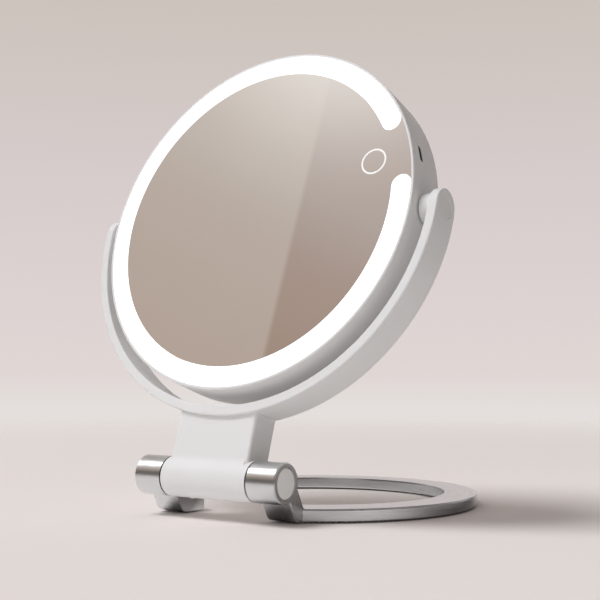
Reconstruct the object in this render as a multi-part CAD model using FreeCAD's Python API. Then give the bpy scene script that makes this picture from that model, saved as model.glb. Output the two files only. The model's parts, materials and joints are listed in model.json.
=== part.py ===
import FreeCAD, Part
import math
import os

# Double-sided lighted travel mirror on a folding stand, in millimetres, +Z up, -Y to the viewer.
# The origin is on the floor, in the middle of the stand's depth.

# Base ring and legs
RING_RADIUS = 84.0
RING_WIDTH = 16.8
RING_TOP = 6.7
RING_BEVEL = 0.09
RING_BEVEL_HEIGHT = 0.9
RING_UNDER_ROUND = 0.8
LEG_LEAN = 28.0
LEG_START = 3.5
LEG_DEPTH = 8.5
LEG_TOE_ROUND = 5.0
LEG_HEEL_ROUND = 2.0
LEG_SIDE_ROUND = 0.7
FOOT_SET = 1.8
PAD_WIDTH = 8.0
PAD_THICKNESS = 1.9
PAD_PROUD = 0.7
PAD_END = 3.0

# Hinge at the front of the base
HINGE_HEIGHT = 18.9
KNUCKLE_RADIUS = 9.5
KNUCKLE_LENGTH = 15.8
KNUCKLE_CHAMFER = 0.6
KNUCKLE_FLOOR = 5.0
BARREL_LENGTH = 49.6
SEAM = 0.8
SEAM_INSET = 0.5
BOLT_RADIUS = 2.5
BOLT_HEAD_RADIUS = 4.2
BOLT_HEAD = 4.0
BOLT_SOCKET_FLATS = 4.0
BOLT_SOCKET_DEPTH = 2.5
BOLT_OVERHANG = 0.8
NUT_FLATS = 8.0
NUT_HEIGHT = 4.0
NUT_ROOM = 0.6
SPRING_COUNT = 3
SPRING_THICKNESS = 0.6
SPRING_RISE = 0.4
SPRING_RADIUS = 4.9
CAP_RADIUS = 7.0
CAP_THICKNESS = 1.5
CAP_RECESS = 0.3
CAP_EDGE = 0.3
HINGE_BUSH_RADIUS = 4.2
HINGE_BUSH_LENGTH = 8.0
BARREL_BORE_RADIUS = 3.2

# Neck and yoke
ARM_LEAN = 17.4
NECK_INSET = 1.8
NECK_RISE = 28.1
NECK_RECESS = 2.0
NECK_EDGE = 1.5
NECK_FOOT_ROUND = 8.0
YOKE_THICKNESS = 4.7
YOKE_WIDTH = 17.8
YOKE_EDGE = 0.7
POCKET_SIDE = 6.0
POCKET_LOW = 11.0
POCKET_HIGH = 23.6
POCKET_DEPTH = 13.0
COVER_THICKNESS = 1.6
COVER_LEDGE = 1.4
NECK_SCREW_INSET = 7.0
NECK_SCREW_RADIUS = 1.45
NECK_SCREW_HEAD_RADIUS = 2.7
NECK_SCREW_HEAD = 1.8
NECK_SCREW_BITE = 3.2

# Head: case, glass and light
GLASS_RADIUS = 89.05
GLASS_THICKNESS = 2.0
GLASS_RECESS = 0.2
LIP_WIDTH = 1.35
LIP_EDGE = 0.4
HEAD_LEAN = 17.8
HEAD_FRONT = 12.7
HEAD_REAR = 13.3
HEAD_GAP = 6.3
CASE_REAR_ROUND = 1.5
CASE_LEDGE = 0.85
BEZEL_WALL = 1.75
LIGHT_WIDTH = 10.0
LIGHT_GAP_HALF_DEG = 12.4
CONTROL_DEG = 17.6
TOUCH_INSET = 18.9
TOUCH_RADIUS = 6.6
TOUCH_LINE = 0.85
TOUCH_DEPTH = 0.4
SENSOR_RADIUS = 8.0
SENSOR_THICKNESS = 0.6
CONTACT_RADIUS = 1.0
CONTACT_BARREL_RADIUS = 1.5
CONTACT_BARREL = 3.0

# Head: inner frame and light strip
PLATE_THICKNESS = 1.5
TROUGH_HALF_WIDTH = 3.2
TROUGH_WALL = 0.8
TROUGH_DEPTH = 7.0
TROUGH_FLOOR = 1.0
STRIP_HALF_WIDTH = 3.0
STRIP_THICKNESS = 0.3
LED_COUNT = 42
LED_LONG = 3.5
LED_WIDE = 2.8
LED_HIGH = 0.8
POST_COUNT = 6
POST_INSET = 14.3
POST_RADIUS = 3.0
FRAME_SCREW_RADIUS = 1.1
FRAME_SCREW_LENGTH = 9.0
FRAME_SCREW_HEAD_RADIUS = 2.2
FRAME_SCREW_HEAD = 1.4

# Head: rear mirror and its bezel
BEZEL_RIM = 4.25
REAR_GLASS_CURVE = 450.0
REAR_GLASS_RECESS = 0.9
BEZEL_RECESS = 0.1
BEZEL_SEAT = 2.0
BEZEL_FLANGE_MARGIN = 4.0
BEZEL_FLANGE = 1.8
BEZEL_FLANGE_SINK = 6.7
BEZEL_EDGE = 0.6

# Pivots between yoke and head
PIN_RADIUS = 2.0
PIN_HEAD_RADIUS = 4.2
PIN_HEAD = 1.4
PIN_TIP = 0.8
CLIP_THICKNESS = 0.75
CLIP_RADIUS = 3.4
CLIP_GROOVE = 0.45
PIVOT_CAP_RADIUS = 5.3
PIVOT_CAP_THICKNESS = 1.0
PIVOT_CAP_RECESS = 0.2
COLLAR_RADIUS = 7.6
COLLAR_TAPER = 0.7
PIVOT_WASHER_RADIUS = 5.0
PIVOT_WASHER_THICKNESS = 0.4
PIVOT_BUSH_RADIUS = 3.2
PIVOT_BUSH_PROUD = 0.3
PIVOT_BLOCK_DEPTH = 8.0
PIVOT_BLOCK_WIDTH = 14.0
PIVOT_BLOCK_REAR = 4.6

# Power: cell, board, socket and wires
BATTERY_LENGTH = 62.0
BATTERY_WIDTH = 46.0
BATTERY_THICKNESS = 5.5
BATTERY_EDGE = 1.5
BATTERY_OFFSET = -12.0
FOAM_THICKNESS = 0.5
FOAM_MARGIN = 4.0
BOARD_LENGTH = 34.0
BOARD_WIDTH = 26.0
BOARD_THICKNESS = 1.2
BOARD_EDGE_GAP = 2.2
BOARD_SCREW_INSET = 4.0
BOARD_SCREW_RADIUS = 1.0
BOARD_SCREW_LENGTH = 5.0
BOARD_SCREW_HEAD_RADIUS = 1.9
BOARD_SCREW_HEAD = 1.2
BOARD_POST_RADIUS = 2.4
USB_FORWARD = 3.9
USB_OPEN_WIDTH = 8.34
USB_OPEN_HEIGHT = 2.56
USB_WALL = 0.3
USB_LENGTH = 7.35
USB_RECESS = 0.4
USB_TONGUE_WIDTH = 6.69
USB_TONGUE_THICKNESS = 0.7
USB_TONGUE_LENGTH = 4.45
CHIPS = (
    (20.0, -5.0, 5.0, 5.0, 0.9),
    (19.0, 4.0, 4.0, 4.0, 2.0),
    (12.5, 6.5, 3.0, 3.0, 1.1),
    (3.0, 0.0, 4.5, 7.0, 3.6),
)
LEAD_RADIUS = 0.6
LEAD_SPACING = 2.2
LEAD_STUB = 5.0
LEAD_HOLE_DEG = 6.5

# Clearances
FIT = 0.05
SLIP = 0.1
PLAY = 0.05

# Sizes worked out from the values above
KNUCKLE_IN = BARREL_LENGTH / 2 + SEAM
KNUCKLE_OUT = KNUCKLE_IN + KNUCKLE_LENGTH
CAP_SEAT = KNUCKLE_OUT - CAP_RECESS - CAP_THICKNESS
NUT_SEAT = KNUCKLE_IN + KNUCKLE_FLOOR
LEG_SLOPE = math.radians(LEG_LEAN)
LEG_TOE = LEG_START + (HINGE_HEIGHT - KNUCKLE_RADIUS - PAD_PROUD) * math.tan(LEG_SLOPE)
LEG_BEND = math.tan((math.pi / 2 - LEG_SLOPE) / 2)
RING_FRONT = LEG_TOE + LEG_TOE_ROUND * LEG_BEND + FOOT_SET
RING_SETBACK = RING_FRONT + math.sqrt(RING_RADIUS ** 2 - KNUCKLE_OUT ** 2)
NECK_WIDTH = BARREL_LENGTH - 2 * NECK_INSET
POCKET_WIDTH = NECK_WIDTH - 2 * POCKET_SIDE
NECK_SCREW_SPACING = POCKET_WIDTH - 2 * NECK_SCREW_INSET
SPRING_STACK = SPRING_COUNT * (SPRING_THICKNESS + FIT) + SPRING_RISE
CASE_RADIUS = GLASS_RADIUS + LIP_WIDTH
YOKE_INNER = CASE_RADIUS + HEAD_GAP
YOKE_OUTER = YOKE_INNER + YOKE_THICKNESS
PIVOT_RISE = NECK_RISE + YOKE_OUTER
NECK_SCREW_Y = (YOKE_WIDTH - POCKET_DEPTH - COVER_THICKNESS) / 2
HINGE_Y = -(RING_SETBACK + RING_RADIUS - KNUCKLE_RADIUS) / 2
GLASS_FRONT = -HEAD_FRONT + GLASS_RECESS
GLASS_BACK = GLASS_FRONT + GLASS_THICKNESS
POCKET_RADIUS = GLASS_RADIUS + SLIP
CASE_INNER = POCKET_RADIUS - CASE_LEDGE
BEZEL_RADIUS = CASE_RADIUS - BEZEL_WALL
REAR_GLASS_RADIUS = BEZEL_RADIUS - BEZEL_RIM - 2 * SLIP
POST_CIRCLE = CASE_INNER - POST_INSET
BEZEL_FLANGE_RADIUS = POST_CIRCLE - BEZEL_FLANGE_MARGIN
BAND_RADIUS = GLASS_RADIUS - LIGHT_WIDTH / 2
PLATE_BACK = GLASS_BACK + PLATE_THICKNESS
TROUGH_BACK = GLASS_BACK + TROUGH_DEPTH
TROUGH_TOP = TROUGH_BACK - TROUGH_FLOOR
TOUCH_CIRCLE = GLASS_RADIUS - TOUCH_INSET
REAR_RIM = HEAD_REAR - REAR_GLASS_RECESS
REAR_CENTRE = REAR_RIM + math.sqrt(REAR_GLASS_CURVE ** 2 - REAR_GLASS_RADIUS ** 2)
FLANGE_BACK = HEAD_REAR - BEZEL_FLANGE_SINK
FLANGE_FRONT = FLANGE_BACK - BEZEL_FLANGE
BUSH_END = CASE_RADIUS + PIVOT_BUSH_PROUD
BLOCK_END = CASE_INNER - PIVOT_BLOCK_DEPTH
COLLAR_START = BUSH_END + PLAY + PIVOT_WASHER_THICKNESS
PIVOT_CAP_SEAT = YOKE_OUTER - PIVOT_CAP_RECESS - PIVOT_CAP_THICKNESS
USB_SHELL_HEIGHT = USB_OPEN_HEIGHT + 2 * USB_WALL
USB_SHELL_WIDTH = USB_OPEN_WIDTH + 2 * USB_WALL
USB_FRONT = CASE_RADIUS - USB_RECESS
BOARD_FRONT = -USB_FORWARD + USB_SHELL_HEIGHT / 2
BOARD_BACK = BOARD_FRONT + BOARD_THICKNESS
BOARD_OUT = CASE_INNER - BOARD_EDGE_GAP
BOARD_IN = BOARD_OUT - BOARD_LENGTH
BATTERY_FRONT = PLATE_BACK + FOAM_THICKNESS

V = FreeCAD.Vector
X_AXIS = V(1, 0, 0)
Y_AXIS = V(0, 1, 0)
Z_AXIS = V(0, 0, 1)
ORIGIN = V(0, 0, 0)
FAR = 4 * RING_RADIUS


def box(x0, x1, y0, y1, z0, z1):
    """Block between two corners."""
    return Part.makeBox(x1 - x0, y1 - y0, z1 - z0, V(x0, y0, z0))


def rod_x(radius, x0, x1):
    """Cylinder on the X axis."""
    return Part.makeCylinder(radius, x1 - x0, V(x0, 0, 0), X_AXIS)


def tube_x(outer, inner, x0, x1):
    """Tube on the X axis."""
    return rod_x(outer, x0, x1).cut(rod_x(inner, x0, x1))


def rod_y(radius, y0, y1, x=0.0, z=0.0):
    """Cylinder along Y through (x, z)."""
    return Part.makeCylinder(radius, y1 - y0, V(x, y0, z), Y_AXIS)


def tube_y(outer, inner, y0, y1, x=0.0, z=0.0):
    """Tube along Y through (x, z)."""
    return rod_y(outer, y0, y1, x, z).cut(rod_y(inner, y0, y1, x, z))


def rod_z(radius, z0, z1, x=0.0, y=0.0):
    """Cylinder along Z through (x, y)."""
    return Part.makeCylinder(radius, z1 - z0, V(x, y, z0), Z_AXIS)


def closed_face(points):
    """Flat face inside a polygon."""
    return Part.Face(Part.makePolygon(points + points[:1]))


def turned(face, axis):
    """Full turn of a face about an axis through the origin."""
    return face.revolve(ORIGIN, axis, 360)


def turned_y(points):
    """Solid of revolution about Y from (radius, y) points."""
    return turned(closed_face([V(r, y, 0) for r, y in points]), Y_AXIS)


def turned_x(points):
    """Solid of revolution about X from (x, radius) points."""
    return turned(closed_face([V(x, r, 0) for x, r in points]), X_AXIS)


def hexagon_x(flats, x0, x1):
    """Six-sided bar on the X axis, given across its flats."""
    corner = flats / math.sqrt(3)
    points = []
    for side in range(6):
        angle = math.radians(60 * side)
        points.append(V(x0, corner * math.cos(angle), corner * math.sin(angle)))
    return closed_face(points).extrude(V(x1 - x0, 0, 0))


def stadium_x(width, height, x0, x1, y):
    """Bar along X with round ends, long along Z, its middle at height y."""
    half = (width - height) / 2
    bar = box(x0, x1, y - height / 2, y + height / 2, -half, half)
    for side in (-1, 1):
        end = Part.makeCylinder(height / 2, x1 - x0, V(x0, y, side * half), X_AXIS)
        bar = bar.fuse(end)
    return bar.removeSplitter()


def both_sides(shape):
    """A piece and its mirror image in the YZ plane."""
    return [shape, shape.mirror(ORIGIN, X_AXIS)]


def group(shapes):
    """Separate solids in one node."""
    return Part.makeCompound(shapes)


def edges_along(shape, axis):
    """Straight edges of a block that are parallel to an axis."""
    return [edge for edge in shape.Edges if abs(edge.tangentAt(edge.FirstParameter).dot(axis)) > 0.999]


def polar(radius, degrees):
    """Point in the head's plane, counted from +X towards +Z."""
    angle = math.radians(degrees)
    return V(radius * math.cos(angle), 0, radius * math.sin(angle))


def band(half_width, y0, y1):
    """C-shaped bar with round ends that follows the light, open at the control side."""
    first = CONTROL_DEG + LIGHT_GAP_HALF_DEG
    last = CONTROL_DEG - LIGHT_GAP_HALF_DEG
    middle = CONTROL_DEG + 180
    outer = BAND_RADIUS + half_width
    inner = BAND_RADIUS - half_width
    low_tip = polar(BAND_RADIUS, last) + polar(half_width, last + 90)
    high_tip = polar(BAND_RADIUS, first) + polar(half_width, first - 90)
    arcs = [
        Part.Arc(polar(outer, first), polar(outer, middle), polar(outer, last)),
        Part.Arc(polar(outer, last), low_tip, polar(inner, last)),
        Part.Arc(polar(inner, last), polar(inner, middle), polar(inner, first)),
        Part.Arc(polar(inner, first), high_tip, polar(outer, first)),
    ]
    face = Part.Face(Part.Wire([arc.toShape() for arc in arcs]))
    face.translate(V(0, y0, 0))
    return face.extrude(V(0, y1 - y0, 0))


def to_control(shape):
    """Turns a piece from the +X side to the side of the touch control."""
    turned_shape = shape.copy()
    turned_shape.rotate(ORIGIN, Y_AXIS, -CONTROL_DEG)
    return turned_shape


def wire(points, radius):
    """Round wire along straight runs joined by tangent arcs."""
    edges = []
    start = points[0]
    for before, corner, after in zip(points, points[1:], points[2:]):
        back = (before - corner).normalize()
        ahead = (after - corner).normalize()
        reach = 0.45 * min(before.distanceToPoint(corner), after.distanceToPoint(corner))
        half_angle = back.getAngle(ahead) / 2
        bend = reach * math.tan(half_angle)
        middle_line = (back + ahead).normalize()
        centre = corner + middle_line * (bend / math.sin(half_angle))
        arc_start = corner + back * reach
        arc_end = corner + ahead * reach
        edges.append(Part.LineSegment(start, arc_start).toShape())
        edges.append(Part.Arc(arc_start, centre - middle_line * bend, arc_end).toShape())
        start = arc_end
    edges.append(Part.LineSegment(start, points[-1]).toShape())
    path = Part.Wire(edges)
    profile = Part.Wire([Part.makeCircle(radius, points[0], points[1] - points[0])])
    return path.makePipeShell([profile], True, False)


def on_base(shape):
    """Places a piece built about the hinge's foot point."""
    placed = shape.copy()
    placed.translate(V(0, HINGE_Y, 0))
    return placed


def on_axle(shape):
    """Places a piece of the base built about the hinge axis."""
    placed = shape.copy()
    placed.translate(V(0, HINGE_Y, HINGE_HEIGHT))
    return placed


def on_arm(shape):
    """Places a piece built about the hinge axis with the arm upright."""
    placed = shape.copy()
    placed.rotate(ORIGIN, X_AXIS, -ARM_LEAN)
    placed.translate(V(0, HINGE_Y, HINGE_HEIGHT))
    return placed


def on_head(shape):
    """Places a piece built about the head's pivot axis with the head upright."""
    lean = math.radians(ARM_LEAN)
    placed = shape.copy()
    placed.rotate(ORIGIN, X_AXIS, -HEAD_LEAN)
    placed.translate(V(0, HINGE_Y + PIVOT_RISE * math.sin(lean), HINGE_HEIGHT + PIVOT_RISE * math.cos(lean)))
    return placed


def at_pivot(shape):
    """Moves an arm piece that was built about the pivot axis up to that axis."""
    placed = shape.copy()
    placed.translate(V(0, 0, PIVOT_RISE))
    return on_arm(placed)


def leg_front(z):
    """Depth of a leg's front face at a height."""
    return LEG_TOE + (PAD_PROUD - z) * math.tan(LEG_SLOPE)


def leg_outline(back_points):
    """Side outline of the feet: sloping front, round toe, flat sole, then the given points."""
    reach = LEG_TOE_ROUND * LEG_BEND
    down = V(0, math.sin(LEG_SLOPE), -math.cos(LEG_SLOPE))
    top = V(0, leg_front(HINGE_HEIGHT), HINGE_HEIGHT)
    corner = V(0, LEG_TOE, PAD_PROUD)
    arc_start = corner - down * reach
    arc_end = corner + Y_AXIS * reach
    centre = arc_end + Z_AXIS * LEG_TOE_ROUND
    arc_middle = centre + (corner - centre).normalize() * LEG_TOE_ROUND
    edges = [
        Part.LineSegment(top, arc_start).toShape(),
        Part.Arc(arc_start, arc_middle, arc_end).toShape(),
    ]
    last = arc_end
    for point in back_points:
        edges.append(Part.LineSegment(last, point).toShape())
        last = point
    edges.append(Part.LineSegment(last, top).toShape())
    return Part.Face(Part.Wire(edges))


def make_leg():
    """One leg between knuckle and ring, with the hollow rounding at its heel."""
    heel = leg_front(RING_TOP) + LEG_DEPTH
    reach = LEG_HEEL_ROUND * LEG_BEND
    up = V(0, -math.sin(LEG_SLOPE), math.cos(LEG_SLOPE))
    corner = V(0, heel, RING_TOP)
    on_slope = corner + up * reach
    on_top = corner + Y_AXIS * reach
    centre = on_top + Z_AXIS * LEG_HEEL_ROUND
    hollow_middle = centre + (corner - centre).normalize() * LEG_HEEL_ROUND
    fill = Part.Face(Part.Wire([
        Part.LineSegment(on_top, corner).toShape(),
        Part.LineSegment(corner, on_slope).toShape(),
        Part.Arc(on_slope, hollow_middle, on_top).toShape(),
    ])).extrude(V(KNUCKLE_LENGTH, 0, 0))
    straight = [
        V(0, heel, PAD_PROUD),
        corner,
        V(0, leg_front(HINGE_HEIGHT) + LEG_DEPTH, HINGE_HEIGHT),
    ]
    leg = leg_outline(straight).extrude(V(KNUCKLE_LENGTH, 0, 0))
    outer_front = [edge for edge in leg.Edges if is_outer_front(edge)]
    leg = leg.makeFillet(LEG_SIDE_ROUND, outer_front).fuse(fill)
    leg.translate(V(KNUCKLE_IN, 0, 0))
    return leg.removeSplitter()


def is_outer_front(edge):
    """True for the edge between a leg's outer side and its sloping front."""
    middle = edge.CenterOfMass
    outside = abs(middle.x - KNUCKLE_LENGTH) < FIT
    return outside and middle.y < LEG_TOE and middle.z < HINGE_HEIGHT - FIT


def ring_profile():
    """Section of the ring: a steep bevel above, rounded below."""
    inner = RING_RADIUS - RING_WIDTH
    outer = RING_RADIUS
    low = PAD_PROUD
    bend = RING_UNDER_ROUND
    diagonal = bend * (1 - math.sqrt(0.5))

    def point(r, z):
        return V(r, 0, z)

    corners = [
        point(outer, low + bend),
        point(outer, RING_TOP - RING_BEVEL_HEIGHT),
        point(outer - RING_BEVEL, RING_TOP),
        point(inner + RING_BEVEL, RING_TOP),
        point(inner, RING_TOP - RING_BEVEL_HEIGHT),
        point(inner, low + bend),
    ]
    edges = [Part.LineSegment(a, b).toShape() for a, b in zip(corners, corners[1:])]
    sole_in = point(inner + bend, low)
    sole_out = point(outer - bend, low)
    edges.append(Part.Arc(corners[-1], point(inner + diagonal, low + diagonal), sole_in).toShape())
    edges.append(Part.LineSegment(sole_in, sole_out).toShape())
    edges.append(Part.Arc(sole_out, point(outer - diagonal, low + diagonal), corners[0]).toShape())
    return Part.Face(Part.Wire(edges))


def make_ring():
    """Ring about its own centre, moved back from the hinge."""
    ring = turned(ring_profile(), Z_AXIS)
    ring.translate(V(0, RING_SETBACK, 0))
    return ring


def pad_shape(spare):
    """Strip under the ring, larger by a clearance for its groove."""
    middle = RING_RADIUS - RING_WIDTH / 2
    outer = middle + PAD_WIDTH / 2 + spare
    inner = middle - PAD_WIDTH / 2 - spare
    strip = rod_z(outer, 0, PAD_THICKNESS + spare).cut(rod_z(inner, 0, PAD_THICKNESS + spare))
    strip.translate(V(0, RING_SETBACK, 0))
    gap = KNUCKLE_IN + PAD_END - spare
    return strip.cut(box(-gap, gap, -FAR, RING_SETBACK, -FAR, FAR))


def make_knuckle():
    """Right knuckle about the hinge axis, its outer end chamfered."""
    return turned_x([
        (KNUCKLE_IN, 0),
        (KNUCKLE_IN, KNUCKLE_RADIUS),
        (KNUCKLE_OUT - KNUCKLE_CHAMFER, KNUCKLE_RADIUS),
        (KNUCKLE_OUT, KNUCKLE_RADIUS - KNUCKLE_CHAMFER),
        (KNUCKLE_OUT, 0),
    ])


def make_base_ring():
    """Ring, legs and knuckles in one casting."""
    far_back = RING_SETBACK + RING_RADIUS + RING_WIDTH
    sole = [V(0, far_back, PAD_PROUD), V(0, far_back, HINGE_HEIGHT)]
    trim = leg_outline(sole).extrude(V(2 * FAR, 0, 0))
    trim.translate(V(-FAR, 0, 0))
    casting = make_ring().common(trim)
    casting = casting.cut(box(-KNUCKLE_IN, KNUCKLE_IN, -FAR, RING_SETBACK, -FAR, FAR))
    recesses = [rod_x(BOLT_RADIUS + FIT, -FAR, FAR)]
    nut_room = NUT_FLATS / math.sqrt(3) + NUT_ROOM
    for leg, knuckle in zip(both_sides(make_leg()), both_sides(make_knuckle())):
        knuckle.translate(V(0, 0, HINGE_HEIGHT))
        casting = casting.fuse(leg).fuse(knuckle)
    recesses += both_sides(rod_x(max(nut_room, SPRING_RADIUS + FIT), NUT_SEAT, KNUCKLE_OUT))
    recesses += both_sides(rod_x(CAP_RADIUS + SLIP, CAP_SEAT, KNUCKLE_OUT))
    for recess in recesses:
        recess.translate(V(0, 0, HINGE_HEIGHT))
        casting = casting.cut(recess)
    return casting.cut(pad_shape(FIT)).removeSplitter()


def make_hinge_bolt():
    """Socket-head bolt from the left knuckle to past the nut on the right."""
    end = NUT_SEAT + SPRING_STACK + NUT_HEIGHT + BOLT_OVERHANG
    bolt = rod_x(BOLT_RADIUS, -NUT_SEAT, end)
    bolt = bolt.fuse(rod_x(BOLT_HEAD_RADIUS, -NUT_SEAT - BOLT_HEAD, -NUT_SEAT))
    socket_floor = -NUT_SEAT - BOLT_HEAD + BOLT_SOCKET_DEPTH
    return bolt.cut(hexagon_x(BOLT_SOCKET_FLATS, -NUT_SEAT - BOLT_HEAD, socket_floor)).removeSplitter()


def make_hinge_nut():
    """Six-sided nut on the springs."""
    start = NUT_SEAT + SPRING_STACK
    end = start + NUT_HEIGHT
    return hexagon_x(NUT_FLATS, start, end).cut(rod_x(BOLT_RADIUS + FIT, start, end))


def make_hinge_springs():
    """Conical spring washers, nested on the bolt."""
    bore = BOLT_RADIUS + FIT
    springs = []
    for index in range(SPRING_COUNT):
        start = NUT_SEAT + index * (SPRING_THICKNESS + FIT)
        springs.append(turned_x([
            (start, SPRING_RADIUS),
            (start + SPRING_THICKNESS, SPRING_RADIUS),
            (start + SPRING_THICKNESS + SPRING_RISE, bore),
            (start + SPRING_RISE, bore),
        ]))
    return group(springs)


def make_friction_washers():
    """Thin washers between the barrel's ends and the knuckles."""
    washer = tube_x(KNUCKLE_RADIUS - SEAM_INSET, BOLT_RADIUS + FIT, BARREL_LENGTH / 2 + PLAY, KNUCKLE_IN)
    return group(both_sides(washer))


def make_end_caps():
    """Discs with a broken edge in the knuckles' outer ends."""
    face = KNUCKLE_OUT - CAP_RECESS
    cap = turned_x([
        (CAP_SEAT, 0),
        (CAP_SEAT, CAP_RADIUS),
        (face - CAP_EDGE, CAP_RADIUS),
        (face, CAP_RADIUS - CAP_EDGE),
        (face, 0),
    ])
    return group(both_sides(cap))


def yoke_underside(x):
    """Height of the yoke's outer face above the hinge axis at a distance from the middle."""
    return PIVOT_RISE - math.sqrt(YOKE_OUTER ** 2 - x ** 2)


def neck_foot(depth):
    """Strip that rounds the hollow corner between the barrel and a front face at a depth."""
    centre_y = -depth - NECK_FOOT_ROUND
    centre_z = math.sqrt((KNUCKLE_RADIUS + NECK_FOOT_ROUND) ** 2 - centre_y ** 2)
    share = KNUCKLE_RADIUS / (KNUCKLE_RADIUS + NECK_FOOT_ROUND)
    start = -NECK_WIDTH / 2 + NECK_EDGE
    centre = V(start, centre_y, centre_z)
    on_neck = V(start, -depth, centre_z)
    on_barrel = V(start, centre_y * share, centre_z * share)
    chord = (on_neck + on_barrel) / 2
    middle = centre + (chord - centre).normalize() * NECK_FOOT_ROUND
    inside = V(start, on_barrel.y / 2, centre_z / 2)
    face = Part.Face(Part.Wire([
        Part.Arc(on_neck, middle, on_barrel).toShape(),
        Part.LineSegment(on_barrel, inside).toShape(),
        Part.LineSegment(inside, on_neck).toShape(),
    ]))
    return face.extrude(V(NECK_WIDTH - 2 * NECK_EDGE, 0, 0))


def make_neck():
    """Neck block set back from the yoke's front, and hinge barrel, with the screw pocket open to the rear."""
    half = NECK_WIDTH / 2
    depth = YOKE_WIDTH / 2
    front = depth - NECK_RECESS
    block = box(-half, half, -front, depth, 0, yoke_underside(half) + YOKE_THICKNESS)
    block = block.makeFillet(NECK_EDGE, edges_along(block, Z_AXIS))
    block = block.cut(rod_y(YOKE_OUTER + FIT, -FAR, FAR, 0, PIVOT_RISE))
    barrel = rod_x(KNUCKLE_RADIUS, -BARREL_LENGTH / 2, BARREL_LENGTH / 2)
    neck = block.fuse(barrel).fuse(neck_foot(front)).fuse(neck_foot(depth).mirror(ORIGIN, Y_AXIS))
    neck = neck.removeSplitter()
    neck = neck.cut(rod_x(BARREL_BORE_RADIUS, -BARREL_LENGTH, BARREL_LENGTH))
    bush_start = BARREL_LENGTH / 2 - HINGE_BUSH_LENGTH
    for seat in both_sides(rod_x(HINGE_BUSH_RADIUS + FIT, bush_start, BARREL_LENGTH)):
        neck = neck.cut(seat)
    wide = POCKET_WIDTH / 2
    narrow = wide - COVER_LEDGE
    neck = neck.cut(box(-wide, wide, depth - COVER_THICKNESS, depth + 1, POCKET_LOW, POCKET_HIGH))
    low = POCKET_LOW + COVER_LEDGE
    high = POCKET_HIGH - COVER_LEDGE
    neck = neck.cut(box(-narrow, narrow, depth - POCKET_DEPTH, depth, low, high))
    x = NECK_SCREW_SPACING / 2
    for hole in both_sides(rod_z(NECK_SCREW_RADIUS + SLIP, high, PIVOT_RISE, x, NECK_SCREW_Y)):
        neck = neck.cut(hole)
    return neck


def make_neck_cover():
    """Panel that lies in the pocket's ledge, flush with the rear of the neck."""
    wide = POCKET_WIDTH / 2 - SLIP
    depth = YOKE_WIDTH / 2
    return box(-wide, wide, depth - COVER_THICKNESS, depth, POCKET_LOW + SLIP, POCKET_HIGH - SLIP)


def make_neck_screws():
    """Screws from the pocket up into the yoke."""
    x = NECK_SCREW_SPACING / 2
    seat = POCKET_HIGH - COVER_LEDGE
    screw = rod_z(NECK_SCREW_RADIUS, seat, yoke_underside(x) + NECK_SCREW_BITE, x, NECK_SCREW_Y)
    head = rod_z(NECK_SCREW_HEAD_RADIUS, seat - NECK_SCREW_HEAD, seat, x, NECK_SCREW_Y)
    return group(both_sides(screw.fuse(head).removeSplitter()))


def make_hinge_bushes():
    """Plain bearings pressed into the barrel."""
    end = BARREL_LENGTH / 2
    return group(both_sides(tube_x(HINGE_BUSH_RADIUS, BOLT_RADIUS + FIT, end - HINGE_BUSH_LENGTH, end)))


def make_yoke():
    """Half ring about the pivot axis, with round ends on that axis."""
    half = YOKE_WIDTH / 2
    lower = box(-FAR, FAR, -half, half, -FAR, 0)
    hoop = tube_y(YOKE_OUTER, YOKE_INNER, -half, half).common(lower)
    for end in both_sides(rod_x(half, YOKE_INNER, YOKE_OUTER)):
        hoop = hoop.fuse(end.common(box(-FAR, FAR, -half, half, 0, half)))
    hoop = hoop.removeSplitter()
    hoop = hoop.makeFillet(YOKE_EDGE, hoop.Edges)
    cuts = [rod_x(PIN_RADIUS + FIT, YOKE_INNER - 1, YOKE_OUTER)]
    cuts.append(rod_x(PIN_HEAD_RADIUS + SLIP, PIVOT_CAP_SEAT - PIN_HEAD, YOKE_OUTER))
    cuts.append(rod_x(PIVOT_CAP_RADIUS + SLIP, PIVOT_CAP_SEAT, YOKE_OUTER + 1))
    for cut in cuts:
        for side in both_sides(cut):
            hoop = hoop.cut(side)
    x = NECK_SCREW_SPACING / 2
    deep = yoke_underside(x) - PIVOT_RISE + NECK_SCREW_BITE + SLIP
    for screw_hole in both_sides(rod_z(NECK_SCREW_RADIUS + FIT, -YOKE_OUTER - 1, deep, x, NECK_SCREW_Y)):
        hoop = hoop.cut(screw_hole)
    return hoop


def make_pivot_collars():
    """Tapered bosses on the yoke's inner faces, cut to its curve."""
    collar = turned_x([
        (COLLAR_START, PIN_RADIUS + FIT),
        (COLLAR_START, COLLAR_RADIUS - COLLAR_TAPER),
        (YOKE_INNER, COLLAR_RADIUS),
        (YOKE_INNER, PIN_RADIUS + FIT),
    ])
    return group(both_sides(collar.common(rod_y(YOKE_INNER - FIT, -FAR, FAR))))


def make_pivot_pins():
    """Headed pins with a groove for the retaining ring."""
    tip = BLOCK_END - PLAY - CLIP_THICKNESS - PIN_TIP
    groove_start = BLOCK_END - PLAY - CLIP_THICKNESS - FIT
    neck = PIN_RADIUS - CLIP_GROOVE
    pin = turned_x([
        (tip, 0),
        (tip, PIN_RADIUS),
        (groove_start, PIN_RADIUS),
        (groove_start, neck),
        (BLOCK_END, neck),
        (BLOCK_END, PIN_RADIUS),
        (PIVOT_CAP_SEAT - PIN_HEAD, PIN_RADIUS),
        (PIVOT_CAP_SEAT - PIN_HEAD, PIN_HEAD_RADIUS),
        (PIVOT_CAP_SEAT - PLAY, PIN_HEAD_RADIUS),
        (PIVOT_CAP_SEAT - PLAY, 0),
    ])
    return group(both_sides(pin))


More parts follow.
